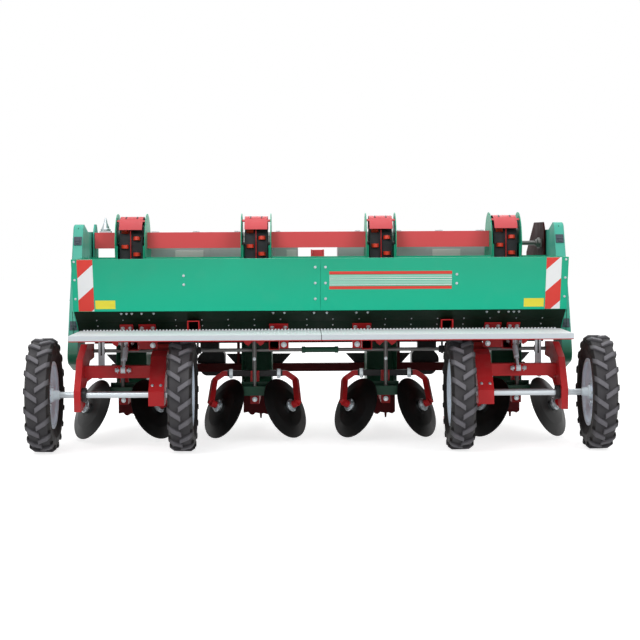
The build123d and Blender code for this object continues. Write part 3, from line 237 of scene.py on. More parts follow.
def paint(name, color, rough=0.36, coat=0.12, dust=0.10, rounding=0.003, metallic=0.0, gloss=0.22,
          lower=None):
    """Enamel: slight colour drift, orange peel, dust in broad patches and rounded edges.

    lower is (axis, color, low, high): that colour shows below the low place and is gone at the high one.
    """
    shader = Shader(name)
    surface = shader.surface
    body = shader.mix(shader.patches(PAINT_DRIFT, 0.0, 1.0), *tones(color, PAINT_TONES))
    if lower:
        body = shader.split(body, *lower)
    dusty = shader.patches(PAINT_DUST, 0.0, dust)
    shader.link(shader.mix(dusty, body, DUST_ON_PAINT), surface.inputs["Base Color"])
    worn = shader.patches(PAINT_WEAR, rough, rough + PAINT_ROUGHENING)
    shader.link(worn, surface.inputs["Roughness"])
    surface.inputs["Coat Weight"].default_value = coat
    surface.inputs["Coat Roughness"].default_value = COAT_ROUGHNESS
    surface.inputs["Specular IOR Level"].default_value = gloss
    surface.inputs["Metallic"].default_value = metallic
    shader.bump(shader.noise(*PAINT_PEEL), PAINT_RELIEF, rounding)
    return shader.material


def metal(name, color, rough=0.30, streak=(1, 1, 1), rounding=0.002, spangle=0.0, metallic=0.85,
          lower=None):
    """Bare or plated metal with fine streaks and, on galvanised sheet, a soft spangle."""
    shader = Shader(name)
    surface = shader.surface
    streaks = shader.noise(*METAL_STREAKS, streak)
    body = shader.mix(streaks, *tones(color, METAL_TONES))
    if spangle:
        cells = shader.node("ShaderNodeTexVoronoi", Scale=SPANGLE_SCALE)
        shader.link(shader.place, cells.inputs["Vector"])
        grains = shader.ramp(cells.outputs["Distance"], 0.0, 1.0, 0.0, spangle)
        body = shader.mix(grains, body, tone(color, SPANGLE_TONE))
    if lower:
        body = shader.split(body, *lower)
    shader.link(body, surface.inputs["Base Color"])
    surface.inputs["Metallic"].default_value = metallic
    worn = shader.ramp(streaks, *METAL_WEAR, rough, rough + METAL_ROUGHENING)
    shader.link(worn, surface.inputs["Roughness"])
    shader.bump(streaks, METAL_RELIEF, rounding)
    return shader.material


def rubber(name, color, rough=0.62, dust=0.22, tread=None, rounding=0.004):
    """Rubber with a dry, faintly dusty skin; tread is the lighter colour of the lug tops, partly wear
    and partly a painted highlight.
    """
    shader = Shader(name)
    surface = shader.surface
    dusty = shader.patches(RUBBER_DUST, 0.0, dust)
    body = shader.mix(shader.noise(*RUBBER_DRIFT), *tones(color, RUBBER_TONES))
    if tread:
        body = shader.mix(shader.ramp(from_axle(shader), *LUG_RADII, 0.0, 1.0), body, tread)
    shader.link(shader.mix(dusty, body, DUST_ON_RUBBER), surface.inputs["Base Color"])
    worn = shader.patches(RUBBER_WEAR, *[rough + change for change in RUBBER_ROUGHENING])
    shader.link(worn, surface.inputs["Roughness"])
    surface.inputs["Specular IOR Level"].default_value = RUBBER_GLOSS
    shader.bump(shader.noise(*RUBBER_SKIN), RUBBER_RELIEF, rounding)
    return shader.material


def from_axle(shader):
    """The distance of a point from the wheel axle."""
    moved = shader.node("ShaderNodeVectorMath", operation="SUBTRACT")
    shader.link(shader.place, moved.inputs[0])
    moved.inputs[1].default_value = (0, AXLE_Y, AXLE_Z)
    flat = shader.node("ShaderNodeVectorMath", operation="MULTIPLY")
    shader.link(moved.outputs[0], flat.inputs[0])
    flat.inputs[1].default_value = (0, 1, 1)
    length = shader.node("ShaderNodeVectorMath", operation="LENGTH")
    shader.link(flat.outputs[0], length.inputs[0])
    return length.outputs["Value"]


def plastic(name, color, rough=0.36):
    """Moulded plastic with a fine grain."""
    shader = Shader(name)
    surface = shader.surface
    body = shader.mix(shader.noise(*PLASTIC_DRIFT), *tones(color, PLASTIC_TONES))
    shader.link(body, surface.inputs["Base Color"])
    worn = shader.patches(PLASTIC_WEAR, rough, rough + PLASTIC_ROUGHENING)
    shader.link(worn, surface.inputs["Roughness"])
    shader.bump(shader.noise(*PLASTIC_GRAIN), PLASTIC_RELIEF, PLASTIC_ROUNDING)
    return shader.material


looks = {
    # hopper walls: plain green at the top and a lighter green below z 0.90, painted light
    "hopper_green": paint("hopper_green", BASE_GREEN, dust=0.03,
                          lower=("Z", HOPPER_LIT_GREEN, *HOPPER_LIGHT_FADE_Z)),
    "tower_green": paint("tower_green", BASE_GREEN, dust=0.05,
                         lower=("Z", TOWER_SHADE, *TOWER_FADE_Z)),
    # the hopper's knee, slope and floor: near-black green, painted shade
    "under_shade": paint("under_shade", UNDER_SHADE_GREEN, rough=0.5, coat=0.0, dust=0.02, gloss=0.10),
    "dark_green": paint("dark_green", DARK_GREEN, rough=0.42, dust=0.10),
    "guard_teal": paint("guard_teal", GUARD_TEAL, rough=0.44, dust=0.04,
                        lower=("Z", GUARD_SHADE, *GUARD_FADE_Z)),
    "frame_red": paint("frame_red", FRAME_RED, dust=0.08),
    # upper covers and mast tie: brighter red below z 1.43, painted light on the covers' rear face
    "cover_red_lit_face": paint("cover_red_lit_face", COVER_BASE_RED, rough=0.46, dust=0.04,
                       lower=("Z", COVER_LIT_FACE_RED, *COVER_LIGHT_FADE_Z)),
    # end plates: painted light; the left one takes the guard's teal and the right one a near-black
    # shaded red, in place of their dark red paint
    "end_painted_light": paint("end_painted_light", END_SHADE_RED, rough=0.50, coat=0.0, dust=0.0, gloss=0.05,
                     lower=("X", GUARD_TEAL, *END_LIGHT_SPLIT_X)),
    "dark_red": paint("dark_red", DARK_RED, rough=0.46, coat=0.0, dust=0.04, gloss=0.12),
    # row bars: red below z 0.34 and black above z 0.36, painted shade on their upper part
    "row_red_shaded_top": paint("row_red_shaded_top", BLACK_IRON, rough=0.46, dust=0.08,
                     lower=("Z", FRAME_RED, *ROW_SHADE_FADE_Z)),
    # platform: galvanised top face, with the flange below it in a darker tone, painted shade
    "galvanised": metal("galvanised", GALVANISED, rough=0.48, spangle=0.25, metallic=0.12,
                        lower=("Z", PLATFORM_FLANGE_SHADE, *PLATFORM_SHADE_FADE_Z)),
    "steel": metal("steel", STEEL, rough=0.30, streak=(0.05, 1, 1)),
    "zinc": metal("zinc", STEEL, rough=0.26),
    "dull_steel": metal("dull_steel", DULL_STEEL, rough=0.38, metallic=0.50),
    "bright_zinc": metal("bright_zinc", BRIGHT_ZINC, rough=0.40, metallic=0.10),
    "rim_silver": paint("rim_silver", RIM_SILVER, rough=0.42, dust=0.10, metallic=0.20),
    "tyre_rubber": rubber("tyre_rubber", TYRE_BLACK, dust=0.08, tread=LUG_WEAR_AND_HIGHLIGHT_GREY, rounding=0.012),
    "disc_black": paint("disc_black", DISC_BLACK, rough=0.34, coat=0.0, dust=0.02, rounding=0.0),
    "belt_black": rubber("belt_black", BELT_BLACK, rough=0.7, dust=0.05),
    "cup_orange": plastic("cup_orange", CUP_ORANGE, rough=0.34),
    "box_grey": plastic("box_grey", BOX_GREY, rough=0.48),
    "black_iron": paint("black_iron", BLACK_IRON, rough=0.46, dust=0.10),
    "label_yellow": plastic("label_yellow", YELLOW, rough=0.42),
    "hazard_red": plastic("hazard_red", HAZARD_RED),
    "board_white": plastic("board_white", WHITE),
    "stripe_mint": plastic("stripe_mint", MINT),
    "plate_grey": plastic("plate_grey", PLATE_GREY, rough=0.44),
    "latch_grey": rubber("latch_grey", LATCH_GREY, rough=0.55, dust=0.05),
}
# nodes that show another material than their slot's; several of these paint light and shade
FINISHES = {
    "upper_covers": "cover_red_lit_face",
    "tower_side_plates": "tower_green", "tower_front_covers": "tower_green",
    "hopper_knee": "under_shade", "hopper_slope": "under_shade", "hopper_floor": "under_shade",
    "row_bars": "row_red_shaded_top", "end_plates": "end_painted_light", "turnbuckles": "bright_zinc",
    "drive_rods": "dull_steel", "upper_shaft": "dull_steel",
}

for part in frame["record"]["subparts"]:
    made = nodes[part["node"]]
    made.data.materials.clear()
    made.data.materials.append(looks[FINISHES.get(part["node"], part["material_slot"])])


# Mesh building

# (height, radius) of a bolt's washer and head as shares of the head's radius
WASHER_SHARES = ((0, 1.45), (0.22, 1.45), (0.30, 1.30))
HEAD_SHARES = ((0, 1.0), (0.85, 1.0), (1.05, 0.84))
HEAD_LIFT_SHARE = 0.28
HEAD_SIDES = 6
ROD_SIDES = 12
ROUND_SIDES = 20
FINE_SIDES = 28
BEVEL_STEPS = 2
# edge radii of thin sheet, plates and moulded pieces
FINE_EDGE = 0.001
EDGE = 0.002
SOFT_EDGE = 0.003
# where the lines that look for a face start
BEHIND = -2.0
IN_FRONT = 4.0
BESIDE = 3.0
ABOVE = 2.0


class Sheet:
    """Collects faces for one piece, in metres, then makes the object."""

    def __init__(self):
        self.mesh = bmesh.new()

    def add(self, corners, faces):
        made = [self.mesh.verts.new(corner) for corner in corners]
        for face in faces:
            self.mesh.faces.new([made[index] for index in face])

    def prism(self, outline, depth):
        """A solid between an outline and the same outline moved by the depth vector."""
        count = len(outline)
        corners = [Vector(corner) for corner in outline]
        corners += [corner + Vector(depth) for corner in corners]
        faces = [list(range(count))[::-1], list(range(count, 2 * count))]
        faces += [[k, (k + 1) % count, (k + 1) % count + count, k + count] for k in range(count)]
        self.add(corners, faces)

    def box(self, x, y, z):
        """A box between the two ends of each pair."""
        self.prism([(x[0], y[0], z[0]), (x[1], y[0], z[0]), (x[1], y[1], z[0]), (x[0], y[1], z[0])],
                   (0, 0, z[1] - z[0]))

    def pad(self, place, out, across, size):
        """A box standing on a face: size is across, along the face, and out of it."""
        out, across = Vector(out).normalized(), Vector(across).normalized()
        along = out.cross(across)
        half_w, half_h = across * size[0] / 2, along * size[1] / 2
        place = Vector(place)
        self.prism([place - half_w - half_h, place + half_w - half_h, place + half_w + half_h,
                    place - half_w + half_h], out * size[2])

    def lathe(self, centre, axis, profile, sides=ROUND_SIDES):
        """A round form of (distance along the axis, radius) rings about the axis."""
        turn = Vector(axis).to_track_quat("Z", "Y")
        corners = []
        for along, radius in profile:
            for k in range(sides):
                angle = 2 * math.pi * k / sides
                ring = Vector((radius * math.cos(angle), radius * math.sin(angle), along))
                corners.append(Vector(centre) + turn @ ring)
        faces = [list(range(sides))[::-1], list(range(len(corners) - sides, len(corners)))]
        for ring in range(len(profile) - 1):
            for k in range(sides):
                low, after = ring * sides, (k + 1) % sides
                faces.append([low + k, low + after, low + sides + after, low + sides + k])
        self.add(corners, faces)

    def bolt(self, place, axis, size):
        """A washer and a chamfered hexagon head; size is the head's radius."""
        self.lathe(place, axis, [(up * size, out * size) for up, out in WASHER_SHARES])
        head = Vector(place) + Vector(axis).normalized() * HEAD_LIFT_SHARE * size
        self.lathe(head, axis, [(up * size, out * size) for up, out in HEAD_SHARES], HEAD_SIDES)

    def rod(self, first, last, radius):
        """A round bar between two points."""
        run = Vector(last) - Vector(first)
        self.lathe(first, run, [(0, radius), (run.length, radius)], ROD_SIDES)

    def make(self, name, look, body=BODY, rounding=0.0):
        """Turn the faces into a named piece that rides on a body."""
        bmesh.ops.recalc_face_normals(self.mesh, faces=self.mesh.faces)
        data = bpy.data.meshes.new(name)
        self.mesh.to_mesh(data)
        self.mesh.free()
        piece = bpy.data.objects.new(name, data)
        bpy.context.collection.objects.link(piece)
        data.materials.append(looks[look])
        if rounding:
            bevel = piece.modifiers.new("rounding", "BEVEL")
            bevel.width = rounding
            bevel.segments = BEVEL_STEPS
            bevel.limit_method = "ANGLE"
        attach(piece, body)
        return piece


def ahead(value):
    """The frame's y of a place in metres ahead of the wheel axle."""
    return AXLE_Y + value


def touch(name, start, direction):
    """Where a straight line first meets a CAD node, and the surface's normal towards its start."""
    hit, place, normal, _ = nodes[name].ray_cast(Vector(start), Vector(direction))
    if not hit:
        raise RuntimeError(f"nothing of {name} is met from {tuple(start)}")
    return place, (-normal if normal.dot(Vector(direction)) > 0 else normal)


def from_behind(name, x, z):
    """The place and normal where a line from behind the machine meets a node."""
    return touch(name, (x, ahead(BEHIND), z), (0, 1, 0))


def from_front(name, x, z):
    """The place and normal where a line from ahead of the machine meets a node."""
    return touch(name, (x, ahead(IN_FRONT), z), (0, -1, 0))


def from_side(name, sign, y, z):
    """The place and normal where a line from a side meets a node."""
    return touch(name, (sign * BESIDE, ahead(y), z), (-sign, 0, 0))


def bolts_behind(sheet, name, places, size):
    """Bolts on a node's rear side at (x, z) places."""
    for x, z in places:
        sheet.bolt(*from_behind(name, x, z), size)


class Face:
    """A flat rear face of a node, to lay thin pieces on."""

    def __init__(self, name, x, z):
        self.place, self.out = from_behind(name, x, z)

    def at(self, x, z, proud=0.0):
        y = self.place.y - (z - self.place.z) * self.out.z / self.out.y
        return Vector((x, y, z)) + self.out * proud

    def patch(self, sheet, corners, thick, proud=0.0):
        """A thin flat piece with (x, z) corners on the face."""
        sheet.prism([self.at(x, z, proud) for x, z in corners], self.out * thick)

    def plate(self, sheet, x, z, thick, proud=0.0):
        self.patch(sheet, [(x[0], z[0]), (x[1], z[0]), (x[1], z[1]), (x[0], z[1])], thick, proud)


# Rear wall: hazard boards, labels, stripes and bolts

# a point of the rear wall, as x and z
WALL_POINT = (0.6, 1.10)
WALL = Face("hopper_rear", *WALL_POINT)
BOARD_TOP_Z = 1.246
BOARD_H = 0.343
BOARD_T = 0.003
FILM_T = 0.0006
BOARD_XS = {"left": (-1.603, -1.500), "right": (1.494, 1.594)}
BOARD_FIRST = {"left": 0.122, "right": 0.080}
BAND_H = 0.148
BAND_RISE = 0.090
LABEL_XS = {"left": (-1.492, -1.360), "right": (1.353, 1.486)}
LABEL_Z = (0.917, 0.974)
STRIPE_X = (0.059, 0.871)
# top edge, height and look of each stripe
STRIPES = ((1.160, 0.020, "hazard_red"), (1.137, 0.017, "stripe_mint"), (1.118, 0.005, "board_white"),
           (1.106, 0.005, "board_white"), (1.098, 0.024, "stripe_mint"), (1.072, 0.005, "board_white"),
           (1.061, 0.020, "hazard_red"))
# distance from the middle, heights and size of the wall's bolts
WALL_BOLTS = ((1.622, (1.232, 1.111, 0.985), 0.0055), (0.903, (1.137, 1.077), 0.0062),
              (0.034, (1.189, 1.083, 0.978), 0.0062))


def cut_at(corners, limit, sign):
    """The part of an outline of (across, down) corners above a level (sign 1) or below it (-1)."""
    kept = []
    for (u0, v0), (u1, v1) in zip(corners, corners[1:] + corners[:1]):
        inside = sign * (v0 - limit) <= 0
        if inside:
            kept.append((u0, v0))
        if inside != (sign * (v1 - limit) <= 0):
            kept.append((u0 + (u1 - u0) * (limit - v0) / (v1 - v0), limit))
    return kept


def hazard_board(side):
    """A white plate with slanted red bands that rise to the right."""
    low, high = BOARD_XS[side]
    plate, bands = Sheet(), Sheet()
    WALL.plate(plate, (low, high), (BOARD_TOP_Z - BOARD_H, BOARD_TOP_Z), BOARD_T)
    width = high - low
    for foot in (BOARD_FIRST[side], BOARD_FIRST[side] + 2 * BAND_H):
        head = foot - BAND_H
        corners = [(0, head), (width, head - BAND_RISE), (width, foot - BAND_RISE), (0, foot)]
        corners = cut_at(cut_at(corners, BOARD_H, 1), 0, -1)
        WALL.patch(bands, [(low + u, BOARD_TOP_Z - v) for u, v in corners], FILM_T, BOARD_T)
    plate.make(f"hazard_board_{side}", "board_white", rounding=FINE_EDGE)
    bands.make(f"hazard_bands_{side}", "hazard_red")


def rear_wall():
    """Everything that is fixed on the hopper's rear wall."""
    labels = Sheet()
    for side, _ in SIDES:
        hazard_board(side)
        WALL.plate(labels, LABEL_XS[side], LABEL_Z, FILM_T)
    labels.make("warning_labels", "label_yellow")
    stripes = {look: Sheet() for _, _, look in STRIPES}
    for top, height, look in STRIPES:
        WALL.plate(stripes[look], STRIPE_X, (top - height, top), FILM_T)
    for look, sheet in stripes.items():
        sheet.make(f"wall_stripes_{look}", look)
    bolts = Sheet()
    for side in (-1, 1):
        for x, levels, size in WALL_BOLTS:
            bolts_behind(bolts, "hopper_rear", [(side * x, z) for z in levels], size)
    bolts.make("wall_bolts", "zinc")


# Under the wall: bolt rows, red brackets and plates at the tube ends

BOLT_ROW_START = -1.499
BOLT_ROW_PITCH = 0.176
BOLT_ROW_COUNT = 18
KNEE_ROW_Z = 0.838
SLOPE_ROW_Z = 0.795
ROW_BOLT = 0.0038
KNEE_BOLT_XS = (0.043, 0.240, 0.315, 1.110, 1.190, 1.255, 1.290, 1.325)
KNEE_BOLT_Z = 0.885
KNEE_BOLT = 0.0065
# a point of the slope under the wall, as x and z
SLOPE_POINT = (0.6, 0.79)
BRACKET_XS = ((0.217, 0.345), (1.110, 1.225), (1.262, 1.352))
BRACKET_Z = (0.768, 0.806)
BRACKET_T = 0.008
BRACKET_BOLT_INSET = 0.020
BRACKET_BOLT_Z = 0.787
BRACKET_BOLT = 0.010
END_PLATES = ((0.213, 0.272), (1.087, 1.212))
END_PLATE_Y = (0.281, 0.289)
END_PLATE_Z = (0.645, 0.694)
END_BOLT_INSET = 0.032
END_BOLT_Z = 0.671
END_BOLT = 0.013
# half of a row's red gusset pair, as (x from the row, z)
GUSSET = ((0.014, 0.703), (0.088, 0.703), (0.064, 0.660), (0.040, 0.645), (0.020, 0.668))
GUSSET_Y = 0.532
GUSSET_T = 0.008


def under_wall():
    """The bolts and red brackets on the hopper's sloping underside."""
    bolts, brackets = Sheet(), Sheet()
    row = [BOLT_ROW_START + k * BOLT_ROW_PITCH for k in range(BOLT_ROW_COUNT)]
    bolts_behind(bolts, "hopper_knee", [(x, KNEE_ROW_Z) for x in row], ROW_BOLT)
    bolts_behind(bolts, "hopper_slope", [(x, SLOPE_ROW_Z) for x in row], ROW_BOLT)
    slope = Face("hopper_slope", *SLOPE_POINT)
    for side in (-1, 1):
        bolts_behind(bolts, "hopper_knee", [(side * x, KNEE_BOLT_Z) for x in KNEE_BOLT_XS], KNEE_BOLT)
        for near, far in BRACKET_XS:
            ends = sorted((side * near, side * far))
            slope.plate(brackets, ends, BRACKET_Z, BRACKET_T)
            for x in (ends[0] + BRACKET_BOLT_INSET, ends[1] - BRACKET_BOLT_INSET):
                bolts.bolt(slope.at(x, BRACKET_BOLT_Z, BRACKET_T), slope.out, BRACKET_BOLT)
        for near, far in END_PLATES:
            ends = sorted((side * near, side * far))
            brackets.box(ends, [ahead(y) for y in END_PLATE_Y], END_PLATE_Z)
            place = (side * (near + END_BOLT_INSET), ahead(END_PLATE_Y[0]), END_BOLT_Z)
            bolts.bolt(place, (0, -1, 0), END_BOLT)
    for row_x in ROWS:
        for side in (-1, 1):
            brackets.prism([(row_x + side * x, ahead(GUSSET_Y), z) for x, z in GUSSET], (0, GUSSET_T, 0))
    bolts.make("under_bolts", "zinc")
    brackets.make("under_brackets", "frame_red", rounding=FINE_EDGE)


# Towers: dividers, cap slots and the shaft's end bearing

SHAFT_Y, SHAFT_Z = 1.300, 1.335
CAP_R = 0.205
DIVIDER_HALF_W = 0.0025
DIVIDER_Y = (1.130, 1.152)
DIVIDER_Z = (0.840, 1.436)
CAP_SLOT_X = 0.040
CAP_SLOT_TURN_DEG = 17.0
CAP_SLOT = (0.009, 0.046, 0.0015)
BEARING_X = 1.625
BEARING_PLATE = (0.118, 0.058, 0.009)
BEARING_PROFILE = [(0.009, 0.040), (0.024, 0.038), (0.030, 0.026), (0.040, 0.025)]
BEARING_BOLT_Y = 0.048
BEARING_BOLT = 0.008


def towers():
    """The parts that finish each cup tower."""
    dividers, slots, bearing = Sheet(), Sheet(), Sheet()
    turn = math.radians(CAP_SLOT_TURN_DEG)
    out = Vector((0, -math.sin(turn), math.cos(turn)))
    for row_x in ROWS:
        width = (row_x - DIVIDER_HALF_W, row_x + DIVIDER_HALF_W)
        dividers.box(width, [ahead(y) for y in DIVIDER_Y], DIVIDER_Z)
        for side in (-1, 1):
            place = Vector((row_x + side * CAP_SLOT_X, ahead(SHAFT_Y), SHAFT_Z)) + out * CAP_R
            slots.pad(place, out, (1, 0, 0), CAP_SLOT)
    dividers.make("belt_dividers", "frame_red")
    slots.make("cap_slots", "black_iron")
    centre = Vector((BEARING_X, ahead(SHAFT_Y), SHAFT_Z))
    bearing.pad(centre, (-1, 0, 0), (0, 1, 0), BEARING_PLATE)
    bearing.lathe(centre, (-1, 0, 0), BEARING_PROFILE)
    for side in (-1, 1):
        place = centre + Vector((-BEARING_PLATE[2], side * BEARING_BOLT_Y, 0))
        bearing.bolt(place, (-1, 0, 0), BEARING_BOLT)
    bearing.make("end_bearing", "dull_steel")


# Guards: rubber latches and the seam down the rear edge

LATCH_X = 1.678
LATCH_ZS = (0.791, 1.366)
# across, along and out of the guard, for the pads that lie on one another
LATCH_PADS = ((0.056, 0.064, 0.007), (0.026, 0.046, 0.006), (0.040, 0.012, 0.004))
SEAM_SPANS = ((0.57, 0.885), (0.915, 1.46))
SEAM_W = 0.004
SEAM_T = 0.0008
# places ahead of the axle and heights of the bolts through each guard
GUARD_BOLTS = ((0.66, 0.96), (0.86, 1.38), (1.33, 1.33), (0.58, 0.60))
GUARD_BOLT = 0.008


def guards():
    """Latches and seams, which swing with their guards."""
    for side, sign in SIDES:
        latches, seam = Sheet(), Sheet()
        node, body = f"guard_{side}", f"{side}_guard"
        for z in LATCH_ZS:
            place, out = from_behind(node, sign * LATCH_X, z)
            for size in LATCH_PADS:
                latches.pad(place, out, (1, 0, 0), size)
                place = place + out * size[2]
        for low, high in SEAM_SPANS:
            ends = [from_behind(node, sign * LATCH_X, z) for z in (low, high)]
            (foot, out), (head, _) = ends
            seam.pad((foot + head) / 2, out, (1, 0, 0), (SEAM_W, (head - foot).length, SEAM_T))
        screws = Sheet()
        for y, z in GUARD_BOLTS:
            screws.bolt(*from_side(node, sign, y, z), GUARD_BOLT)
        screws.make(f"guard_bolts_{side}", "zinc", body)
        latches.make(f"guard_latches_{side}", "latch_grey", body, rounding=EDGE)
        seam.make(f"guard_seam_{side}", "dark_green", body)


# Rows: bolts, clamps and hub flanges

LIP_HALF_W = 0.0925
LIP_Y = (0.606, 0.6145)
LIP_Z = (0.370, 0.394)
# outline of the worn plate behind an opener, as (x from the row, z), and its place
SCRAPER = ((-0.098, 0.296), (0.096, 0.296), (0.096, 0.124), (0.074, 0.110), (0.050, 0.118),
           (0.036, 0.116), (0.033, 0.084), (0.021, 0.084), (0.018, 0.117), (-0.010, 0.122),
           (-0.030, 0.107), (-0.048, 0.110), (-0.064, 0.128), (-0.098, 0.122))
SCRAPER_Y = 1.112
SCRAPER_T = 0.006
BAR_BOLT_Z = 0.276
BAR_BOLT = 0.012
DRIVE_BOLT_Z = 0.556
DRIVE_BOLT = 0.008
CLAMP_OFFSET = 0.165
CLAMP_Z = (0.416, 0.480)
CLAMP_Y = (0.621, 0.6295)
CLAMP_W = 0.024
CLAMP_ROD_R = 0.005
CLAMP_ROD_INSET = 0.010
CLAMP_BOLT = 0.008
CLAMP_BACK_Y = 0.682
FLANGE_PROFILE = [(0.016, 0.030), (0.016, 0.044), (0.022, 0.044), (0.024, 0.042), (0.024, 0.030)]
FLANGE_SIDES = 32
FLANGE_BOLTS = 5
FLANGE_BOLT_R = 0.0375
FLANGE_BOLT_LIFT = 0.024
FLANGE_BOLT = 0.005


def rows():
    """The small parts of the row units and their closing discs."""
    clamps, bolts, flanges, lips, scrapers = Sheet(), Sheet(), Sheet(), Sheet(), Sheet()
    for row_x in ROWS:
        lips.box((row_x - LIP_HALF_W, row_x + LIP_HALF_W), [ahead(y) for y in LIP_Y], LIP_Z)
        scrapers.prism([(row_x + x, ahead(SCRAPER_Y), z) for x, z in SCRAPER], (0, SCRAPER_T, 0))
        bolts_behind(bolts, "row_bars", [(row_x, BAR_BOLT_Z)], BAR_BOLT)
        bolts_behind(bolts, "drive_rods", [(row_x, DRIVE_BOLT_Z)], DRIVE_BOLT)
        for side in (-1, 1):
            x = row_x + side * CLAMP_OFFSET
            clamps.box((x - CLAMP_W / 2, x + CLAMP_W / 2), [ahead(y) for y in CLAMP_Y], CLAMP_Z)
            near, far = ahead(CLAMP_Y[0]), ahead(CLAMP_BACK_Y)
            levels = (CLAMP_Z[0] + CLAMP_ROD_INSET, CLAMP_Z[1] - CLAMP_ROD_INSET)
            for z in levels:
                clamps.rod((x, near, z), (x, far, z), CLAMP_ROD_R)
                clamps.bolt((x, near, z), (0, -1, 0), CLAMP_BOLT)
            clamps.rod((x, far, levels[0]), (x, far, levels[1]), CLAMP_ROD_R)
    for joint in frame["record"]["behaviour"]["joints"]:
        if not joint["name"].startswith("disc_"):
            continue
        centre, axis = Vector(joint["pos_m"]), Vector(joint["axis"]).normalized()
        flanges.lathe(centre, axis, FLANGE_PROFILE, FLANGE_SIDES)
        turn = axis.to_track_quat("Z", "Y")
        for k in range(FLANGE_BOLTS):
            angle = 2 * math.pi * k / FLANGE_BOLTS
            spoke = turn @ Vector((math.cos(angle), math.sin(angle), 0)) * FLANGE_BOLT_R
            flanges.bolt(centre + axis * FLANGE_BOLT_LIFT + spoke, axis, FLANGE_BOLT)
    clamps.make("bar_clamps", "steel")
    lips.make("base_lips", "dark_green", rounding=EDGE)
    scrapers.make("opener_scrapers", "dark_red")
    bolts.make("row_bolts", "zinc")
    flanges.make("disc_flanges", "zinc")


# Wheel frames: turnbuckle pins, case bolts and wheel nuts

TURNBUCKLE_X = 1.297
TURNBUCKLE_EYES = ((0.084, 0.522), (0.305, 0.685))
EYE_HALF_W = 0.034
EYE_BOLT = 0.014
CASE_BOLT_XS = (1.042, 1.096)
CASE_BOLT_Z = 0.431
CASE_BOLT = 0.007
WHEEL_NUTS = 5
WHEEL_NUT_R = 0.066
WHEEL_NUT = 0.009
# how far beside a wheel's middle the lines to its rim start
WHEEL_CLEAR = 0.12
# height over the axle at which the hub's seat on the rim is looked for
HUB_SEAT_UP = 0.040
HUB_PROFILE = [(0.0, 0.030), (0.0, 0.046), (0.010, 0.044), (0.014, 0.032), (0.052, 0.028)]
HANGER_PLATE_X = (1.477, 1.521)
HANGER_PLATE_Y = (0.571, 0.579)
HANGER_PLATE_Z = (0.510, 0.703)


def wheel_frames():
    """Pins, bolts and nuts of the wheel frames; the nuts roll with their wheels."""
    bolts, hangers = Sheet(), Sheet()
    for side, sign in SIDES:
        width = sorted(sign * x for x in HANGER_PLATE_X)
        hangers.box(width, [ahead(y) for y in HANGER_PLATE_Y], HANGER_PLATE_Z)
        for y, z in TURNBUCKLE_EYES:
            for end in (-1, 1):
                place = (sign * TURNBUCKLE_X + end * EYE_HALF_W, ahead(y), z)
                bolts.bolt(place, (end, 0, 0), EYE_BOLT)
        bolts_behind(bolts, "chain_cases", [(sign * x, CASE_BOLT_Z) for x in CASE_BOLT_XS], CASE_BOLT)
        nuts, hubs = Sheet(), Sheet()
        start = (sign * (2 * ROW_PITCH - WHEEL_CLEAR), AXLE_Y, AXLE_Z + HUB_SEAT_UP)
        seat, _ = touch(f"rims_{side}", start, (sign, 0, 0))
        hubs.lathe((seat.x, AXLE_Y, AXLE_Z), (-sign, 0, 0), HUB_PROFILE, FINE_SIDES)
        hubs.make(f"wheel_hub_{side}", "bright_zinc", f"{side}_wheels")
        for wheel_x in (sign * ROW_PITCH, 2 * sign * ROW_PITCH):
            for face in (-1, 1):
                for k in range(WHEEL_NUTS):
                    angle = 2 * math.pi * (k + 0.5) / WHEEL_NUTS
                    start = (wheel_x + face * WHEEL_CLEAR, AXLE_Y + WHEEL_NUT_R * math.cos(angle),
                             AXLE_Z + WHEEL_NUT_R * math.sin(angle))
                    nuts.bolt(*touch(f"rims_{side}", start, (-face, 0, 0)), WHEEL_NUT)
        nuts.make(f"wheel_nuts_{side}", "zinc", f"{side}_wheels")
    bolts.make("wheel_frame_bolts", "zinc")
    hangers.make("hanger_plates", "steel", rounding=EDGE)


# Platform: rows of teeth and the seam in its middle

# place and tooth height of each row of teeth
TOOTH_ROWS = ((-0.142, 0.0022), (-0.034, 0.0022), (0.074, 0.0022), (0.182, 0.0022), (0.286, 0.007))
TOOTH_PITCH = 0.022
TOOTH_T = 0.006
TOOTH_FOOT = 0.015
TOOTH_SLOPE = 0.004
GAP_X = (-0.002, 0.002)
GAP_INSET = 0.002
GAP_PROUD = 0.0006


def platform():
    """Rows of teeth along the platform and the gap where its two halves meet."""
    low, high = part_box("platform")
    teeth, seam = Sheet(), Sheet()
    count = int((high.x - low.x - TOOTH_PITCH) / TOOTH_PITCH)
    start = -count * TOOTH_PITCH / 2
    for y, height in TOOTH_ROWS:
        tooth = ((0, 0), (TOOTH_FOOT, 0), (TOOTH_FOOT - TOOTH_SLOPE, height), (TOOTH_SLOPE, height))
        for k in range(count):
            foot = start + k * TOOTH_PITCH
            teeth.prism([(foot + x, ahead(y), high.z + z) for x, z in tooth], (0, TOOTH_T, 0))
    seam.box(GAP_X, (low.y + GAP_INSET, high.y), (high.z, high.z + GAP_PROUD))
    seam.box(GAP_X, (low.y - GAP_PROUD, low.y), (low.z, high.z))
    teeth.make("platform_teeth", "galvanised")
    seam.make("platform_seam", "black_iron")


# Front: blank plates on the fertiliser boxes, the mast's tie and the marker cone

BOX_PLATES = (("left", (-1.065, -0.855)), ("left", (-0.235, -0.158)), ("right", (0.855, 1.065)))
BOX_PLATE_Z = (1.222, 1.290)
BOX_PLATE_T = 0.003
BOX_FACE_Z = 1.25
# ends of the tie across, ahead of the axle and in height
MAST_TIE = ((-0.0385, 0.0385), (1.964, 1.974), (1.215, 1.287))
CONE_X = -1.548
CONE_FOOT = (0.082, 0.070, 0.012)
CONE_SIDES = 24
CONE_PROFILE = [(0, 0.036), (0.014, 0.036), (0.018, 0.030), (0.060, 0.014), (0.096, 0.005)]


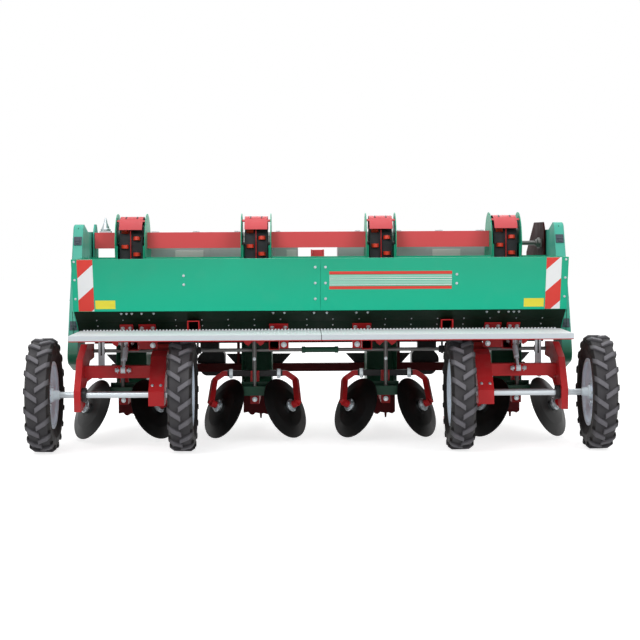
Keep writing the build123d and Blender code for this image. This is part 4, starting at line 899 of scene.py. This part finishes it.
def front_parts():
    """What shows over the hopper from behind."""
    plates, cone = Sheet(), Sheet()
    for side, ends in BOX_PLATES:
        face = Face(f"fertiliser_box_{side}", sum(ends) / 2, BOX_FACE_Z)
        face.plate(plates, ends, BOX_PLATE_Z, BOX_PLATE_T)
    plates.make("blank_plates", "plate_grey", rounding=FINE_EDGE)
    tie = Sheet()
    tie.box(MAST_TIE[0], [ahead(y) for y in MAST_TIE[1]], MAST_TIE[2])
    tie.make("mast_tie", "cover_red_lit_face", rounding=EDGE)
    place, out = touch("upper_covers", (CONE_X, ahead(SHAFT_Y), ABOVE), (0, 0, -1))
    cone.pad(place, out, (1, 0, 0), CONE_FOOT)
    cone.lathe(place + out * CONE_FOOT[2], out, CONE_PROFILE, CONE_SIDES)
    cone.make("marker_cone", "steel")


# Front: fertiliser lids, tower covers, shares and gearboxes

LID_RIB_XS = (0.30, 0.61, 0.92, 1.23, 1.38)
LID_RIB_W = 0.030
LID_RIB_H = 0.007
LID_RIB_SINK = 0.0005
LID_RIB_INSETS = (0.040, 0.050)
LID_HANDLE_XS = (0.48, 1.16)
LID_HANDLE = (0.110, 0.022, 0.010)
BOX_RIB_XS = (0.34, 0.825, 1.31)
BOX_RIB_Z = 1.31
BOX_RIB = (0.036, 0.150, 0.006)
COVER_BOLT_ZS = (0.36, 0.52, 0.84, 1.00)
COVER_BOLT_X = 0.088
COVER_BOLT = 0.006
GEARBOX_X = 0.850
GEARBOX_Z = 0.445
GEARBOX_BOLTS = 6
GEARBOX_BOLT_R = 0.058
GEARBOX_BOLT_LIFT = 0.011
GEARBOX_BOLT = 0.005
GEARBOX_PROFILE = [(0.0, 0.072), (0.008, 0.072), (0.012, 0.066), (0.014, 0.034), (0.040, 0.030)]
HOUSING = (0.140, 0.110, 0.062)
HOUSING_SHIFT = 0.030
HOUSING_Y = 1.710
# x from the row and height of each bolt through a share
SHARE_BOLTS = ((0, 0.475), (-0.075, 0.475), (0.075, 0.475), (0, 0.385))
SHARE_BOLT = 0.009


def box_lids():
    """Ribs and handles of the fertiliser lids, which swing with them, and the boxes' ribs."""
    for side, sign in SIDES:
        node, body = f"fertiliser_lid_{side}", f"{side}_lid"
        low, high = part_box(node)
        ribs, handles, walls = Sheet(), Sheet(), Sheet()
        length = (low.y + LID_RIB_INSETS[0], high.y - LID_RIB_INSETS[1])
        for x in LID_RIB_XS:
            middle = sign * x
            ribs.box((middle - LID_RIB_W / 2, middle + LID_RIB_W / 2), length,
                     (high.z - LID_RIB_SINK, high.z + LID_RIB_H))
        for x in LID_HANDLE_XS:
            place, out = from_front(node, sign * x, (low.z + high.z) / 2)
            handles.pad(place, out, (1, 0, 0), LID_HANDLE)
        for x in BOX_RIB_XS:
            for found in (from_front, from_behind):
                place, out = found(f"fertiliser_box_{side}", sign * x, BOX_RIB_Z)
                walls.pad(place, out, (1, 0, 0), BOX_RIB)
        ribs.make(f"lid_ribs_{side}", "box_grey", body, rounding=EDGE)
        handles.make(f"lid_handles_{side}", "latch_grey", body, rounding=SOFT_EDGE)
        walls.make(f"box_ribs_{side}", "box_grey", rounding=EDGE)


def front_fasteners():
    """Bolts on the tower covers, shares and gearboxes, with the gearboxes' covers and housings."""
    bolts, covers = Sheet(), Sheet()
    for row_x in ROWS:
        for z in COVER_BOLT_ZS:
            for side in (-1, 1):
                bolts.bolt(*from_front("tower_front_covers", row_x + side * COVER_BOLT_X, z), COVER_BOLT)
        for x, z in SHARE_BOLTS:
            bolts.bolt(*from_front("ridger_shares", row_x + x, z), SHARE_BOLT)
    for _, sign in SIDES:
        place, out = from_front("gearboxes", sign * GEARBOX_X, GEARBOX_Z)
        covers.lathe(place, out, GEARBOX_PROFILE, FINE_SIDES)
        start = (sign * (GEARBOX_X - HOUSING_SHIFT), ahead(HOUSING_Y), ABOVE)
        head, up = touch("gearboxes", start, (0, 0, -1))
        covers.pad(head, up, (1, 0, 0), HOUSING)
        for k in range(GEARBOX_BOLTS):
            angle = 2 * math.pi * k / GEARBOX_BOLTS
            spoke = Vector((math.cos(angle), 0, math.sin(angle))) * GEARBOX_BOLT_R
            bolts.bolt(place + out * GEARBOX_BOLT_LIFT + spoke, out, GEARBOX_BOLT)
    bolts.make("front_bolts", "zinc")
    covers.make("gearbox_covers", "black_iron")


rear_wall()
under_wall()
towers()
guards()
rows()
wheel_frames()
platform()
front_parts()
box_lids()
front_fasteners()


# Studio: camera, floor, lamps and world

FLOOR_SIZE = 80.0
FLOOR_GREY = (0.62, 0.62, 0.62, 1.0)
FLOOR_ROUGHNESS = 0.9
# what the floor adds to its own light where the camera sees it
FLOOR_GLOW = 0.74
# the world's light on the object, and as it is seen behind it
WORLD_LIGHT = 0.36
WORLD_SEEN = 1.0
WORLD_WHITE = (1.0, 1.0, 1.0, 1.0)
CLIP_END = 100.0
# name, place, size and power in watts
LAMPS = (("key", (-4.5, -8.0, 7.5), 5.0, 400.0), ("fill", (6.0, -7.0, 4.0), 5.0, 210.0),
         ("top", (0.0, 0.5, 8.0), 7.0, 270.0), ("back", (1.0, 9.0, 5.0), 6.0, 200.0))
LAMP_AIM = (0, 0, 0.6)
# pitch of a camera that looks at the horizon
LEVEL_DEG = 90


def studio():
    """The photograph's camera, a plain white floor, soft lamps and a white world."""
    camera = bpy.data.objects.new("camera", bpy.data.cameras.new("camera"))
    bpy.context.collection.objects.link(camera)
    camera.data.lens = LENS_MM
    camera.data.sensor_width = SENSOR_MM
    camera.data.clip_end = CLIP_END
    camera.location = (CAMERA_X, AXLE_Y - CAMERA_BACK, CAMERA_Z)
    look = Euler((math.radians(LEVEL_DEG - PITCH_DEG), 0, math.radians(-YAW_DEG)), "XYZ").to_matrix()
    camera.rotation_euler = (look @ Matrix.Rotation(math.radians(ROLL_DEG), 3, "Z")).to_euler()
    bpy.context.scene.camera = camera

    bpy.ops.mesh.primitive_plane_add(size=FLOOR_SIZE)
    floor = bpy.context.object
    floor.name = "floor"
    floor.data.materials.append(floor_material())

    for name, place, size, power in LAMPS:
        lamp = bpy.data.objects.new(name, bpy.data.lights.new(name, "AREA"))
        lamp.data.energy = power
        lamp.data.size = size
        lamp.location = place
        lamp.rotation_euler = (Vector(LAMP_AIM) - Vector(place)).to_track_quat("-Z", "Y").to_euler()
        bpy.context.collection.objects.link(lamp)

    world = bpy.data.worlds.new("world")
    bpy.context.scene.world = world
    world.use_nodes = True
    tree = world.node_tree
    background = tree.nodes["Background"]
    path = tree.nodes.new("ShaderNodeLightPath")
    seen = camera_like(tree, path)
    strength = tree.nodes.new("ShaderNodeMapRange")
    strength.inputs["To Min"].default_value = WORLD_LIGHT
    strength.inputs["To Max"].default_value = WORLD_SEEN
    tree.links.new(seen, strength.inputs["Value"])
    background.inputs["Color"].default_value = WORLD_WHITE
    tree.links.new(strength.outputs["Result"], background.inputs["Strength"])
    bpy.context.scene.view_settings.view_transform = "Standard"


def camera_like(tree, path):
    """One for camera, glossy and transmission rays, nothing for the rest."""
    first = tree.nodes.new("ShaderNodeMath")
    second = tree.nodes.new("ShaderNodeMath")
    for node in (first, second):
        node.operation = "MAXIMUM"
    tree.links.new(path.outputs["Is Camera Ray"], first.inputs[0])
    tree.links.new(path.outputs["Is Glossy Ray"], first.inputs[1])
    tree.links.new(first.outputs[0], second.inputs[0])
    tree.links.new(path.outputs["Is Transmission Ray"], second.inputs[1])
    return second.outputs[0]


def floor_material():
    """A white floor that still takes the object's shadow."""
    material = bpy.data.materials.new("floor")
    material.use_nodes = True
    tree = material.node_tree
    surface = tree.nodes["Principled BSDF"]
    surface.inputs["Base Color"].default_value = FLOOR_GREY
    surface.inputs["Roughness"].default_value = FLOOR_ROUGHNESS
    glow = tree.nodes.new("ShaderNodeEmission")
    path = tree.nodes.new("ShaderNodeLightPath")
    strength = tree.nodes.new("ShaderNodeMath")
    strength.operation = "MULTIPLY"
    strength.inputs[1].default_value = FLOOR_GLOW
    tree.links.new(camera_like(tree, path), strength.inputs[0])
    tree.links.new(strength.outputs[0], glow.inputs["Strength"])
    added = tree.nodes.new("ShaderNodeAddShader")
    tree.links.new(surface.outputs[0], added.inputs[0])
    tree.links.new(glow.outputs[0], added.inputs[1])
    tree.links.new(added.outputs[0], tree.nodes["Material Output"].inputs["Surface"])
    return material


studio()
